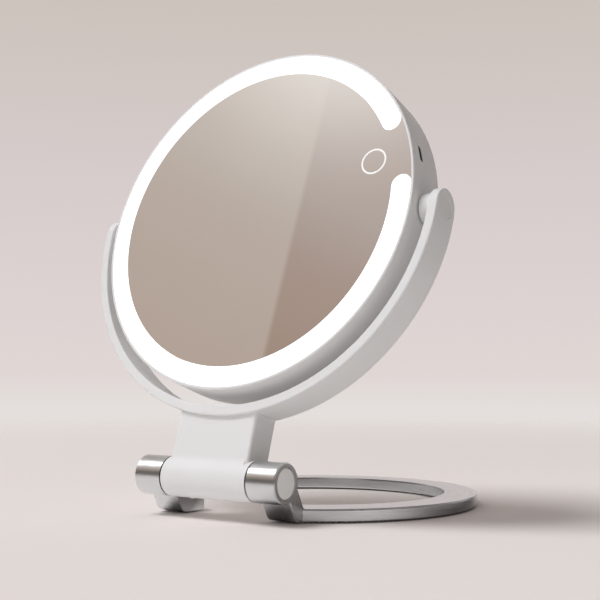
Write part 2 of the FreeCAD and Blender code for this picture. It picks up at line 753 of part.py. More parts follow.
def make_pivot_clips():
    """Retaining rings in the pins' grooves."""
    end = BLOCK_END - PLAY
    inner = PIN_RADIUS - CLIP_GROOVE + FIT
    return group(both_sides(tube_x(CLIP_RADIUS, inner, end - CLIP_THICKNESS, end)))


def make_pivot_washers():
    """Friction washers between the collars and the ends of the bushes."""
    return group(both_sides(tube_x(PIVOT_WASHER_RADIUS, PIN_RADIUS + FIT, BUSH_END + PLAY, COLLAR_START)))


def make_pivot_caps():
    """Flush discs on the outer faces of the yoke's ends."""
    return group(both_sides(rod_x(PIVOT_CAP_RADIUS, PIVOT_CAP_SEAT, PIVOT_CAP_SEAT + PIVOT_CAP_THICKNESS)))


def make_pivot_bushes():
    """Bearings for the pins in the case's pivot blocks."""
    return group(both_sides(tube_x(PIVOT_BUSH_RADIUS, PIN_RADIUS + FIT, BLOCK_END, BUSH_END)))


def make_case():
    """Round wall with a thin front lip, a ledge for the glass and two pivot blocks."""
    step = FLANGE_BACK - FIT
    bend = CASE_REAR_ROUND
    diagonal = bend * (1 - math.sqrt(0.5))
    lip = LIP_EDGE * (1 - math.sqrt(0.5))
    points = [
        V(POCKET_RADIUS, -HEAD_FRONT, 0),
        V(CASE_RADIUS - LIP_EDGE, -HEAD_FRONT, 0),
        V(CASE_RADIUS, LIP_EDGE - HEAD_FRONT, 0),
        V(CASE_RADIUS, HEAD_REAR - bend, 0),
        V(CASE_RADIUS - bend, HEAD_REAR, 0),
        V(BEZEL_RADIUS, HEAD_REAR, 0),
        V(BEZEL_RADIUS, step, 0),
        V(CASE_INNER, step, 0),
        V(CASE_INNER, GLASS_BACK, 0),
        V(POCKET_RADIUS, GLASS_BACK, 0),
    ]
    rounds = {
        1: V(CASE_RADIUS - lip, lip - HEAD_FRONT, 0),
        3: V(CASE_RADIUS - diagonal, HEAD_REAR - diagonal, 0),
    }
    edges = []
    for index, start in enumerate(points):
        end = points[(index + 1) % len(points)]
        if index in rounds:
            edges.append(Part.Arc(start, rounds[index], end).toShape())
        else:
            edges.append(Part.LineSegment(start, end).toShape())
    case = turned(Part.Face(Part.Wire(edges)), Y_AXIS)
    half = PIVOT_BLOCK_WIDTH / 2
    wall_middle = (CASE_INNER + CASE_RADIUS) / 2
    block = box(BLOCK_END, wall_middle, TROUGH_BACK + SLIP, PIVOT_BLOCK_REAR, -half, half)
    block = block.common(rod_y(wall_middle, -HEAD_FRONT, HEAD_REAR))
    for side in both_sides(block):
        case = case.fuse(side)
    for bore in both_sides(rod_x(PIVOT_BUSH_RADIUS + FIT, BLOCK_END - 1, CASE_RADIUS + 1)):
        case = case.cut(bore)
    slot_width = USB_SHELL_WIDTH + 2 * SLIP
    slot_height = USB_SHELL_HEIGHT + 2 * SLIP
    slot = stadium_x(slot_width, slot_height, BOARD_OUT, CASE_RADIUS + 1, -USB_FORWARD)
    return case.cut(to_control(slot)).removeSplitter()


def make_front_glass():
    """Mirror disc, cut back for the light and grooved for the touch ring."""
    glass = rod_y(GLASS_RADIUS, GLASS_FRONT, GLASS_BACK)
    glass = glass.cut(band(LIGHT_WIDTH / 2 + SLIP, GLASS_FRONT, GLASS_BACK))
    return glass.cut(touch_mark(FIT))


def touch_mark(spare):
    """Ring at the touch control, larger by a clearance for its groove."""
    outer = TOUCH_RADIUS + spare
    inner = TOUCH_RADIUS - TOUCH_LINE - spare
    return to_control(tube_y(outer, inner, GLASS_FRONT, GLASS_FRONT + TOUCH_DEPTH, TOUCH_CIRCLE))


def make_light_band():
    """Opal diffuser, flush with the mirror."""
    return band(LIGHT_WIDTH / 2, GLASS_FRONT, GLASS_BACK)


def make_touch_sensor():
    """Sensing disc on the back of the glass."""
    return to_control(rod_y(SENSOR_RADIUS, GLASS_BACK, GLASS_BACK + SENSOR_THICKNESS, TOUCH_CIRCLE))


def make_touch_contact():
    """Sprung contact from the board to the sensor."""
    pin = rod_y(CONTACT_RADIUS, GLASS_BACK + SENSOR_THICKNESS, BOARD_FRONT, TOUCH_CIRCLE)
    barrel = rod_y(CONTACT_BARREL_RADIUS, BOARD_FRONT - CONTACT_BARREL, BOARD_FRONT, TOUCH_CIRCLE)
    return to_control(pin.fuse(barrel).removeSplitter())


def post_places():
    """Middles of the frame's screw posts."""
    pitch = 360.0 / POST_COUNT
    return [polar(POST_CIRCLE, CONTROL_DEG + pitch * (index + 0.5)) for index in range(POST_COUNT)]


def board_screw_places():
    """Radius and sideways offset of the board's screws, on the control side."""
    side = BOARD_WIDTH / 2 - BOARD_SCREW_INSET
    return [(BOARD_IN + BOARD_SCREW_INSET, -side), (BOARD_IN + BOARD_SCREW_INSET, side)]


def lead_hole_place():
    """Middle of the hole where the light's wires leave the trough."""
    return polar(BAND_RADIUS, CONTROL_DEG + LIGHT_GAP_HALF_DEG + LEAD_HOLE_DEG)


def make_inner_frame():
    """Plate behind the glass, with the light trough, screw posts and board posts."""
    frame = rod_y(CASE_INNER - SLIP, GLASS_BACK, PLATE_BACK)
    frame = frame.fuse(band(TROUGH_HALF_WIDTH + TROUGH_WALL, GLASS_BACK, TROUGH_BACK))
    for place in post_places():
        frame = frame.fuse(rod_y(POST_RADIUS, GLASS_BACK, FLANGE_FRONT, place.x, place.z))
    for radius, side in board_screw_places():
        frame = frame.fuse(to_control(rod_y(BOARD_POST_RADIUS, GLASS_BACK, BOARD_FRONT, radius, side)))
    frame = frame.removeSplitter()
    frame = frame.cut(band(TROUGH_HALF_WIDTH, GLASS_BACK, TROUGH_TOP))
    frame = frame.cut(to_control(rod_y(SENSOR_RADIUS + SLIP, GLASS_BACK, PLATE_BACK, TOUCH_CIRCLE)))
    for place in post_places():
        deep = FLANGE_BACK - FRAME_SCREW_LENGTH - SLIP
        frame = frame.cut(rod_y(FRAME_SCREW_RADIUS + FIT, deep, FLANGE_FRONT, place.x, place.z))
    for radius, side in board_screw_places():
        deep = BOARD_BACK - BOARD_SCREW_LENGTH - SLIP
        frame = frame.cut(to_control(rod_y(BOARD_SCREW_RADIUS + FIT, deep, BOARD_FRONT, radius, side)))
    hole = lead_hole_place()
    return frame.cut(rod_y(LEAD_SPACING / 2 + LEAD_RADIUS + SLIP, TROUGH_TOP, TROUGH_BACK, hole.x, hole.z))


def make_led_strip():
    """Circuit strip on the floor of the trough."""
    return band(STRIP_HALF_WIDTH, TROUGH_TOP - STRIP_THICKNESS, TROUGH_TOP)


def make_leds():
    """Diodes evenly spaced along the strip."""
    top = TROUGH_TOP - STRIP_THICKNESS
    first = CONTROL_DEG + LIGHT_GAP_HALF_DEG
    pitch = (360 - 2 * LIGHT_GAP_HALF_DEG) / (LED_COUNT - 1)
    near = BAND_RADIUS - LED_LONG / 2
    wide = LED_WIDE / 2
    diodes = []
    for index in range(LED_COUNT):
        diode = box(near, near + LED_LONG, top - LED_HIGH, top, -wide, wide)
        diode.rotate(ORIGIN, Y_AXIS, -(first + index * pitch))
        diodes.append(diode)
    return group(diodes)


def rear_glass_back(radius):
    """Depth of the rear mirror's hidden face at a radius."""
    return REAR_CENTRE - math.sqrt((REAR_GLASS_CURVE + GLASS_THICKNESS) ** 2 - radius ** 2)


def make_rear_glass():
    """Hollow magnifying mirror, a cap of a sphere with even thickness."""
    def front(radius):
        return V(radius, REAR_CENTRE - math.sqrt(REAR_GLASS_CURVE ** 2 - radius ** 2), 0)

    def back(radius):
        return V(radius, rear_glass_back(radius), 0)

    rim = REAR_GLASS_RADIUS
    edges = [
        Part.Arc(front(0), front(rim / 2), front(rim)).toShape(),
        Part.LineSegment(front(rim), back(rim)).toShape(),
        Part.Arc(back(rim), back(rim / 2), back(0)).toShape(),
        Part.LineSegment(back(0), front(0)).toShape(),
    ]
    return turned(Part.Face(Part.Wire(edges)), Y_AXIS)


def make_rear_bezel():
    """Ring that seats the rear mirror and takes the frame's screws."""
    outer = BEZEL_RADIUS - SLIP
    inner = REAR_GLASS_RADIUS + SLIP
    seat_radius = REAR_GLASS_RADIUS - BEZEL_SEAT
    seat = rear_glass_back(seat_radius) - FIT
    back = HEAD_REAR - BEZEL_RECESS
    bezel = turned_y([
        (BEZEL_FLANGE_RADIUS, FLANGE_FRONT),
        (CASE_INNER - SLIP, FLANGE_FRONT),
        (CASE_INNER - SLIP, FLANGE_BACK),
        (outer, FLANGE_BACK),
        (outer, back),
        (inner + BEZEL_EDGE, back),
        (inner, back - BEZEL_EDGE),
        (inner, seat),
        (seat_radius, seat),
        (seat_radius, FLANGE_BACK),
        (BEZEL_FLANGE_RADIUS, FLANGE_BACK),
    ])
    for place in post_places():
        bezel = bezel.cut(rod_y(FRAME_SCREW_RADIUS + SLIP, FLANGE_FRONT, FLANGE_BACK, place.x, place.z))
    return bezel


def make_frame_screws():
    """Pan-head screws from the bezel's flange into the frame's posts."""
    screws = []
    for place in post_places():
        shank = rod_y(FRAME_SCREW_RADIUS, FLANGE_BACK - FRAME_SCREW_LENGTH, FLANGE_BACK, place.x, place.z)
        head = rod_y(FRAME_SCREW_HEAD_RADIUS, FLANGE_BACK, FLANGE_BACK + FRAME_SCREW_HEAD, place.x, place.z)
        screws.append(shank.fuse(head).removeSplitter())
    return group(screws)


def make_battery():
    """Flat pouch cell with rounded long edges."""
    start = BATTERY_OFFSET - BATTERY_LENGTH / 2
    wide = BATTERY_WIDTH / 2
    back = BATTERY_FRONT + BATTERY_THICKNESS
    cell = box(start, start + BATTERY_LENGTH, BATTERY_FRONT, back, -wide, wide)
    return cell.makeFillet(BATTERY_EDGE, edges_along(cell, X_AXIS))


def make_battery_pad():
    """Foam tape between the cell and the plate."""
    half = BATTERY_LENGTH / 2 - FOAM_MARGIN
    wide = BATTERY_WIDTH / 2 - FOAM_MARGIN
    return box(BATTERY_OFFSET - half, BATTERY_OFFSET + half, PLATE_BACK, BATTERY_FRONT, -wide, wide)


def make_control_board():
    """Board behind the touch control, drilled for its screws."""
    half = BOARD_WIDTH / 2
    board = box(BOARD_IN, BOARD_OUT, BOARD_FRONT, BOARD_BACK, -half, half)
    for radius, side in board_screw_places():
        board = board.cut(rod_y(BOARD_SCREW_RADIUS + SLIP, BOARD_FRONT, BOARD_BACK, radius, side))
    return to_control(board)


def make_board_chips():
    """Components on the rear of the board; the last is the cell's plug socket at the inner edge."""
    chips = []
    for along_board, side, length, width, height in CHIPS:
        start = BOARD_IN + along_board - length / 2
        low = side - width / 2
        chips.append(box(start, start + length, BOARD_BACK, BOARD_BACK + height, low, low + width))
    return to_control(group(chips))


def make_board_screws():
    """Screws through the board into its posts."""
    screws = []
    for radius, side in board_screw_places():
        shank = rod_y(BOARD_SCREW_RADIUS, BOARD_BACK - BOARD_SCREW_LENGTH, BOARD_BACK, radius, side)
        head = rod_y(BOARD_SCREW_HEAD_RADIUS, BOARD_BACK, BOARD_BACK + BOARD_SCREW_HEAD, radius, side)
        screws.append(shank.fuse(head).removeSplitter())
    return to_control(group(screws))


def make_usb_shell():
    """Metal shell of the charging socket, closed at its inner end."""
    inner_end = USB_FRONT - USB_LENGTH
    shell = stadium_x(USB_SHELL_WIDTH, USB_SHELL_HEIGHT, inner_end, USB_FRONT, -USB_FORWARD)
    hollow = stadium_x(USB_OPEN_WIDTH, USB_OPEN_HEIGHT, inner_end + USB_WALL, USB_FRONT, -USB_FORWARD)
    return to_control(shell.cut(hollow))


def make_usb_tongue():
    """Contact tongue on the back wall of the socket."""
    start = USB_FRONT - USB_LENGTH + USB_WALL
    wide = USB_TONGUE_WIDTH / 2
    front = -USB_FORWARD - USB_TONGUE_THICKNESS / 2
    back = front + USB_TONGUE_THICKNESS
    return to_control(box(start, start + USB_TONGUE_LENGTH, front, back, -wide, wide))


def make_battery_leads():
    """Two wires from the end of the cell to the plug socket on the board."""
    start = BATTERY_OFFSET + BATTERY_LENGTH / 2 + FIT
    low = BATTERY_FRONT + BATTERY_THICKNESS / 2
    along_board, side, length, width, height = CHIPS[-1]
    plug = polar(BOARD_IN + along_board - length / 2 - FIT, CONTROL_DEG) + polar(side, CONTROL_DEG + 90)
    plug.y = BOARD_BACK + height / 2
    leads = []
    for offset in (-LEAD_SPACING / 2, LEAD_SPACING / 2):
        first = V(start, low, plug.z / 2 + offset)
        last = plug + polar(offset, CONTROL_DEG + 90)
        leaving = first + X_AXIS * LEAD_STUB
        arriving = last - polar(LEAD_STUB, CONTROL_DEG)
        leads.append(wire([first, leaving, arriving, last], LEAD_RADIUS))
    return group(leads)


def make_light_leads():
    """Two wires from the LED strip through the trough's floor to the edge of the board."""
    hole = lead_hole_place()
    level = (BOARD_FRONT + BOARD_BACK) / 2
    out = polar(1, CONTROL_DEG + 90)
    edge = polar(BOARD_IN + BOARD_LENGTH / 2, CONTROL_DEG) + out * (BOARD_WIDTH / 2 + FIT)
    leads = []
    for offset in (-LEAD_SPACING / 2, LEAD_SPACING / 2):
        shift = polar(offset, CONTROL_DEG)
        first = hole + shift + Y_AXIS * TROUGH_TOP
        last = edge + shift + Y_AXIS * level
        bend = hole + shift + Y_AXIS * level
        leads.append(wire([first, bend, last + out * LEAD_STUB, last], LEAD_RADIUS))
    return group(leads)


PIECES = {
    "base_ring": on_base(make_base_ring()),
    "base_pad": on_base(pad_shape(0)),
    "hinge_bolt": on_axle(make_hinge_bolt()),
    "hinge_nut": on_axle(make_hinge_nut()),
    "hinge_spring_washers": on_axle(make_hinge_springs()),
    "hinge_friction_washers": on_axle(make_friction_washers()),
    "hinge_end_caps": on_axle(make_end_caps()),
    "neck": on_arm(make_neck()),
    "neck_cover": on_arm(make_neck_cover()),
    "neck_screws": on_arm(make_neck_screws()),
    "hinge_bushes": on_arm(make_hinge_bushes()),
    "yoke": at_pivot(make_yoke()),
    "pivot_collars": at_pivot(make_pivot_collars()),
    "pivot_pins": at_pivot(make_pivot_pins()),
    "pivot_clips": at_pivot(make_pivot_clips()),
    "pivot_washers": at_pivot(make_pivot_washers()),
    "pivot_caps": at_pivot(make_pivot_caps()),
    "case": on_head(make_case()),
    "front_glass": on_head(make_front_glass()),
    "light_band": on_head(make_light_band()),
    "touch_ring": on_head(touch_mark(0)),
    "touch_sensor": on_head(make_touch_sensor()),
    "touch_contact": on_head(make_touch_contact()),
    "inner_frame": on_head(make_inner_frame()),
    "led_strip": on_head(make_led_strip()),
    "leds": on_head(make_leds()),
    "rear_bezel": on_head(make_rear_bezel()),
    "rear_glass": on_head(make_rear_glass()),
    "frame_screws": on_head(make_frame_screws()),
    "pivot_bushes": on_head(make_pivot_bushes()),
    "battery": on_head(make_battery()),
    "battery_pad": on_head(make_battery_pad()),
    "battery_leads": on_head(make_battery_leads()),
    "control_board": on_head(make_control_board()),
    "board_chips": on_head(make_board_chips()),
    "board_screws": on_head(make_board_screws()),
    "usb_shell": on_head(make_usb_shell()),
    "usb_tongue": on_head(make_usb_tongue()),
    "light_leads": on_head(make_light_leads()),
}

os.makedirs("parts", exist_ok=True)
for name, piece in PIECES.items():
    if not piece.isValid():
        raise ValueError(f"{name} isn't a valid shape")
    piece.exportStep(f"parts/{name}.step")
    print(name, len(piece.Solids), round(piece.Volume, 1))
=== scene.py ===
"""Dresses the CAD frame of a double-sided lighted table mirror: finishes, small fittings, studio and camera.

Sizes are in millimetres and angles in degrees, unless a docstring says otherwise. Meshes are in metres.
"""

import json
import logging
import math
from dataclasses import dataclass, field
from enum import Enum
from typing import Any, ClassVar

import bmesh
import bpy
from mathutils import Matrix, Vector


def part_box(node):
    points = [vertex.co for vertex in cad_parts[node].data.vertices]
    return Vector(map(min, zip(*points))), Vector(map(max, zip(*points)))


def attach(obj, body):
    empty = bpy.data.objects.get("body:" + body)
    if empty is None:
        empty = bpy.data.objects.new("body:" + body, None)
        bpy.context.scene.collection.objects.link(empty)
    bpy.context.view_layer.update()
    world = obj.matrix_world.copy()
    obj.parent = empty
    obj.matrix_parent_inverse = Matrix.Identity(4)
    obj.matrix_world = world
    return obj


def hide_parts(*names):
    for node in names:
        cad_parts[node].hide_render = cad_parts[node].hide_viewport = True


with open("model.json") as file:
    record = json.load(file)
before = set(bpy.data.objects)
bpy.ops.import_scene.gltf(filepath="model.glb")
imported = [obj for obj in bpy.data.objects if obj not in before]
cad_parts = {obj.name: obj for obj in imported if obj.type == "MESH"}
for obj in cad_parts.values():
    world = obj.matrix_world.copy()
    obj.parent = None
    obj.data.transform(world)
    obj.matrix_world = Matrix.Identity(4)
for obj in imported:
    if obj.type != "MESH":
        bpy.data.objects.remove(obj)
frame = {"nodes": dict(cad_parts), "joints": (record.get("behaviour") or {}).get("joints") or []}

LOG = logging.getLogger("mirror")
MM = 0.001
Point = tuple[float, float, float]
Span = tuple[float, float]
Stops = tuple[tuple[float, str], ...]
Tree = bpy.types.NodeTree
Node = bpy.types.Node
Socket = bpy.types.NodeSocket
Mesh = bpy.types.Mesh
Object = bpy.types.Object


def linear(colour: str) -> tuple[float, float, float, float]:
    """Turns an sRGB hex colour into linear values.

    Args:
        colour: six hex digits, such as "E9E8E7".

    Returns:
        Red, green, blue and an alpha of 1.
    """
    parts = [int(colour[i : i + 2], 16) / 255 for i in (0, 2, 4)]
    red, green, blue = [c / 12.92 if c <= 0.04045 else ((c + 0.055) / 1.055) ** 2.4 for c in parts]
    return red, green, blue, 1.0


def per_metre(size_mm: float) -> float:
    """Scale of a pattern whose marks are so many millimetres wide."""
    return 1 / (size_mm * MM)


def add_node(tree: Tree, kind: str, inputs: dict | None = None, **settings: Any) -> Node:
    """Adds a node to a tree with its settings, values and links.

    Args:
        tree: tree that takes the node.
        kind: type of the node.
        inputs: value or linked output for each input, by name or number.
        settings: attributes of the node itself.

    Returns:
        The new node.
    """
    node = tree.nodes.new(kind)
    for name, value in settings.items():
        setattr(node, name, value)
    for key, value in (inputs or {}).items():
        if isinstance(value, Socket):
            tree.links.new(value, node.inputs[key])
        else:
            node.inputs[key].default_value = value
    return node


class Axis(Enum):
    """Axis that a turned or brushed surface runs round, as a mask of the directions across it."""

    X = (0.0, 1.0, 1.0)
    Z = (1.0, 1.0, 0.0)


@dataclass(frozen=True)
class Surface:
    """Shader of one material, and the object coordinates, in metres, that its patterns read."""

    tree: Tree
    shader: Node
    coords: Socket

    def link(self, output: Socket, name: str) -> None:
        """Links an output to the shader's input of that name."""
        self.tree.links.new(output, self.shader.inputs[name])

    def from_axis(self, centre: Point, axis: Axis) -> tuple[Socket, Socket]:
        """Measures where the surface lies from an axis.

        Args:
            centre: point on the axis, in metres.
            axis: direction of the axis.

        Returns:
            Place from the centre, and distance from the axis.
        """
        shift = {0: self.coords, 1: centre}
        place = add_node(self.tree, "ShaderNodeVectorMath", shift, operation="SUBTRACT").outputs[0]
        flat = {0: place, 1: axis.value}
        across = add_node(self.tree, "ShaderNodeVectorMath", flat, operation="MULTIPLY").outputs[0]
        reach = add_node(self.tree, "ShaderNodeVectorMath", {0: across}, operation="LENGTH").outputs["Value"]
        return place, reach


@dataclass(frozen=True)
class Finish:
    """Common part of every finish.

    The name is the material's name, the two colours are the surface's light and dark tones, and gloss_spread
    is how far the roughness goes to each side of its mean.
    """

    name: str
    light: str
    dark: str
    roughness: float = 0.4
    gloss_spread: float = 0.05
    ior: float = 1.5
    metallic: float = 0.0

    def material(self) -> bpy.types.Material:
        """Gives the finish as a material, made once.

        Returns:
            The material with its nodes.
        """
        known = bpy.data.materials.get(self.name)
        if known:
            return known
        made = bpy.data.materials.new(self.name)
        made.use_nodes = True
        tree = made.node_tree
        tree.nodes.clear()
        coords = add_node(tree, "ShaderNodeTexCoord").outputs["Object"]
        shader = add_node(tree, "ShaderNodeBsdfPrincipled", {"Metallic": self.metallic})
        # a metal keeps the default IOR
        if not self.metallic:
            shader.inputs["IOR"].default_value = self.ior
        self.wire(Surface(tree, shader, coords))
        add_node(tree, "ShaderNodeOutputMaterial", {"Surface": shader.outputs[0]})
        return made

    def wire(self, surface: Surface) -> None:
        """Links the surface's pattern to the shader.

        Args:
            surface: shader and coordinates of the material.
        """
        raise NotImplementedError

    def tones(self, surface: Surface, factor: Socket) -> None:
        """Mixes the light and dark tones into the base colour.

        Args:
            surface: shader and coordinates of the material.
            factor: 0 for light, 1 for dark.
        """
        colours = {0: factor, 6: linear(self.light), 7: linear(self.dark)}
        mixed = add_node(surface.tree, "ShaderNodeMix", colours, data_type="RGBA")
        surface.link(mixed.outputs[2], "Base Color")

    def gloss(self, surface: Surface, factor: Socket) -> None:
        """Varies the roughness round its mean.

        Args:
            surface: shader and coordinates of the material.
            factor: pattern from 0 to 1.
        """
        low, high = self.roughness - self.gloss_spread, self.roughness + self.gloss_spread
        span = {"Value": factor, "To Min": low, "To Max": high}
        surface.link(add_node(surface.tree, "ShaderNodeMapRange", span).outputs[0], "Roughness")

    def relief(self, surface: Surface, height: Socket, depth_mm: float) -> None:
        """Raises the pattern as a bump.

        Args:
            surface: shader and coordinates of the material.
            height: pattern from 0 to 1.
            depth_mm: depth of the pattern.
        """
        values = {"Height": height, "Distance": depth_mm * MM, "Strength": 1.0}
        surface.link(add_node(surface.tree, "ShaderNodeBump", values).outputs[0], "Normal")


@dataclass(frozen=True)
class MouldedPlastic(Finish):
    """Injection-moulded plastic: an even colour with slow flow clouds and a fine spark-eroded grain."""

    # the real grain is about 0.1 mm wide; it is drawn coarser so that it shows
    grain_mm: float = 0.5
    grain_depth_mm: float = 0.004
    cloud_mm: float = 22.0

    def wire(self, surface: Surface) -> None:
        """Links the clouds and the grain to the shader.

        Args:
            surface: shader and coordinates of the material.
        """
        clouds = {"Vector": surface.coords, "Scale": per_metre(self.cloud_mm), "Detail": 3.0}
        cloud = add_node(surface.tree, "ShaderNodeTexNoise", clouds).outputs[0]
        grains = {"Vector": surface.coords, "Scale": per_metre(self.grain_mm), "Detail": 2.0}
        grain = add_node(surface.tree, "ShaderNodeTexNoise", grains).outputs[0]
        self.tones(surface, cloud)
        self.gloss(surface, cloud)
        self.relief(surface, grain, self.grain_depth_mm)


@dataclass(frozen=True)
class RingAluminium(Finish):
    """Cast aluminium, brushed round the base ring and turned smooth round the hinge axis.

    The ring shows long light and dark streaks, and the knuckles a soft band of light. The ring's centre
    and the hinge are in metres.
    """

    metallic: float = 1.0
    ring_centre: Point = (0.0, 0.0, 0.0)
    ring_mid: float = 75.6
    hinge: Point = (0.0, 0.0, 0.0)
    knuckle_radius: float = 9.5
    knuckle_edge: Span = (0.1, 0.5)
    knuckle_roughness: float = 0.27
    knuckle_tone: float = 0.5
    # painted shade: the darker tone that the knuckle ends and leg sides get in place of darker reflections
    cut: str = "B0B0B1"
    shade_steepness: Span = (0.75, 0.95)
    shade_reach: Span = (22.0, 26.0)
    # real brush lines are about 0.1 mm wide; they are drawn coarser so that they show
    line_mm: float = 0.9
    line_depth_mm: float = 0.0018
    streak_mm: float = 24.0
    turn_stretch: float = 0.04

    def wire(self, surface: Surface) -> None:
        """Links the two directions of brushing, and the painted shade on the knuckle ends and leg sides, to
        the shader.

        Args:
            surface: shader and coordinates of the material.
        """
        tree = surface.tree
        from_hinge, reach = surface.from_axis(self.hinge, Axis.X)
        # distance from the hinge axis tells knuckle from ring
        near, far = ((self.knuckle_radius + edge) * MM for edge in self.knuckle_edge)
        edge = {"Value": reach, "From Min": near, "From Max": far}
        on_ring = add_node(tree, "ShaderNodeMapRange", edge).outputs[0]
        lines = self.lines(surface, from_hinge, on_ring)
        # the ring's streaks show as light and dark, and the knuckles keep an even tone
        streaks = {"Value": on_ring, "To Min": self.knuckle_tone, "To Max": lines}
        streak = add_node(tree, "ShaderNodeMapRange", streaks).outputs[0]
        shades = {0: streak, 6: linear(self.light), 7: linear(self.dark)}
        polished = add_node(tree, "ShaderNodeMix", shades, data_type="RGBA").outputs[2]
        # the knuckle ends and leg sides get painted shade
        faces = {0: self.painted_shade_faces(tree, reach), 6: polished, 7: linear(self.cut)}
        surface.link(add_node(tree, "ShaderNodeMix", faces, data_type="RGBA").outputs[2], "Base Color")
        means = {"Value": on_ring, "To Min": self.knuckle_roughness, "To Max": self.roughness}
        mean = add_node(tree, "ShaderNodeMapRange", means).outputs[0]
        terms = {0: lines, 1: self.gloss_spread, 2: mean}
        varied = add_node(tree, "ShaderNodeMath", terms, operation="MULTIPLY_ADD").outputs[0]
        surface.link(varied, "Roughness")
        self.relief(surface, lines, self.line_depth_mm)

    def lines(self, surface: Surface, from_hinge: Socket, on_ring: Socket) -> Socket:
        """Draws brush lines on the ring and turning lines on the knuckles.

        Args:
            surface: shader and coordinates of the material.
            from_hinge: place from the hinge, in metres.
            on_ring: 0 on the knuckles, 1 on the ring.

        Returns:
            Pattern from 0 to 1.
        """
        tree = surface.tree
        # brush lines keep their distance from the ring's centre and run along its arc
        from_centre, radius = surface.from_axis(self.ring_centre, Axis.Z)
        parts = add_node(tree, "ShaderNodeSeparateXYZ", {0: from_centre}).outputs
        angle = add_node(tree, "ShaderNodeMath", {0: parts[1], 1: parts[0]}, operation="ARCTAN2").outputs[0]
        stretch = self.line_mm / self.streak_mm * self.ring_mid * MM
        along = add_node(tree, "ShaderNodeMath", {0: angle, 1: stretch}, operation="MULTIPLY").outputs[0]
        ring_place = add_node(tree, "ShaderNodeCombineXYZ", {0: radius, 1: along, 2: parts[2]}).outputs[0]
        # turning lines follow each other along the hinge axis and run round it
        turned = {0: from_hinge, 1: (1.0, self.turn_stretch, self.turn_stretch)}
        turn_place = add_node(tree, "ShaderNodeVectorMath", turned, operation="MULTIPLY").outputs[0]
        places = {0: on_ring, 4: turn_place, 5: ring_place}
        place = add_node(tree, "ShaderNodeMix", places, data_type="VECTOR").outputs[1]
        noise = {"Vector": place, "Scale": per_metre(self.line_mm), "Detail": 3.0}
        return add_node(tree, "ShaderNodeTexNoise", noise).outputs[0]

    def painted_shade_faces(self, tree: Tree, reach: Socket) -> Socket:
        """Marks the knuckle ends and leg sides, which get painted shade: a darker tone in place of the darker
        reflections they would show.

        Args:
            tree: the material's tree.
            reach: distance from the hinge axis, in metres.

        Returns:
            0 on polished faces, 1 on cut ones.
        """
        normal = add_node(tree, "ShaderNodeNewGeometry").outputs["Normal"]
        sideways = add_node(tree, "ShaderNodeSeparateXYZ", {0: normal}).outputs[0]
        slope = add_node(tree, "ShaderNodeMath", {0: sideways}, operation="ABSOLUTE").outputs[0]
        low, high = self.shade_steepness
        span = {"Value": slope, "From Min": low, "From Max": high}
        steep = add_node(tree, "ShaderNodeMapRange", span).outputs[0]
        near, far = self.shade_reach
        ends = {"Value": reach, "From Min": near * MM, "From Max": far * MM, "To Min": 1.0, "To Max": 0.0}
        at_hinge = add_node(tree, "ShaderNodeMapRange", ends).outputs[0]
        return add_node(tree, "ShaderNodeMath", {0: steep, 1: at_hinge}, operation="MULTIPLY").outputs[0]


@dataclass(frozen=True)
class TurnedMetal(Finish):
    """Metal turned or brushed round an axis: fine circular lines that catch the light as a fan.

    The centre is in metres.
    """

    gloss_spread: float = 0.06
    metallic: float = 1.0
    axis: Axis = Axis.X
    centre: Point = (0.0, 0.0, 0.0)
    # real turning lines are about 0.1 mm apart; they are drawn coarser so that they show
    line_mm: float = 0.4
    line_depth_mm: float = 0.002

    def wire(self, surface: Surface) -> None:
        """Links the circular lines to the shader.

        Args:
            surface: shader and coordinates of the material.
        """
        _, reach = surface.from_axis(self.centre, self.axis)
        noise = {"W": reach, "Scale": per_metre(self.line_mm), "Detail": 3.0}
        lines = add_node(surface.tree, "ShaderNodeTexNoise", noise, noise_dimensions="1D").outputs[0]
        self.tones(surface, lines)
        self.gloss(surface, lines)
        self.relief(surface, lines, self.line_depth_mm)


@dataclass(frozen=True)
class PlatedMetal(Finish):
    """Plated small metal part: bright, with a slightly cloudy plating and fine orange peel."""

    gloss_spread: float = 0.08
    metallic: float = 1.0
    cloud_mm: float = 3.0
    peel_mm: float = 0.6
    peel_depth_mm: float = 0.002

    def wire(self, surface: Surface) -> None:
        """Links the clouds and the peel to the shader.

        Args:
            surface: shader and coordinates of the material.
        """
        clouds = {"Vector": surface.coords, "Scale": per_metre(self.cloud_mm), "Detail": 4.0}
        cloud = add_node(surface.tree, "ShaderNodeTexNoise", clouds).outputs[0]
        peels = {"Vector": surface.coords, "Scale": per_metre(self.peel_mm)}
        peel = add_node(surface.tree, "ShaderNodeTexNoise", peels).outputs[0]
        self.tones(surface, cloud)
        self.gloss(surface, cloud)
        self.relief(surface, peel, self.peel_depth_mm)


@dataclass(frozen=True)
class SilveredGlass(Finish):
    """Silvered float glass: a clear reflection with the faintest film of wiping."""

    roughness: float = 0.012
    gloss_spread: float = 0.0096
    metallic: float = 1.0
    wipe_mm: float = 35.0

    def wire(self, surface: Surface) -> None:
        """Links the wiping film to the shader.

        Args:
            surface: shader and coordinates of the material.
        """
        noise = {"Vector": surface.coords, "Scale": per_metre(self.wipe_mm), "Detail": 4.0, "Distortion": 1.5}
        film = add_node(surface.tree, "ShaderNodeTexNoise", noise).outputs[0]
        self.tones(surface, film)
        self.gloss(surface, film)


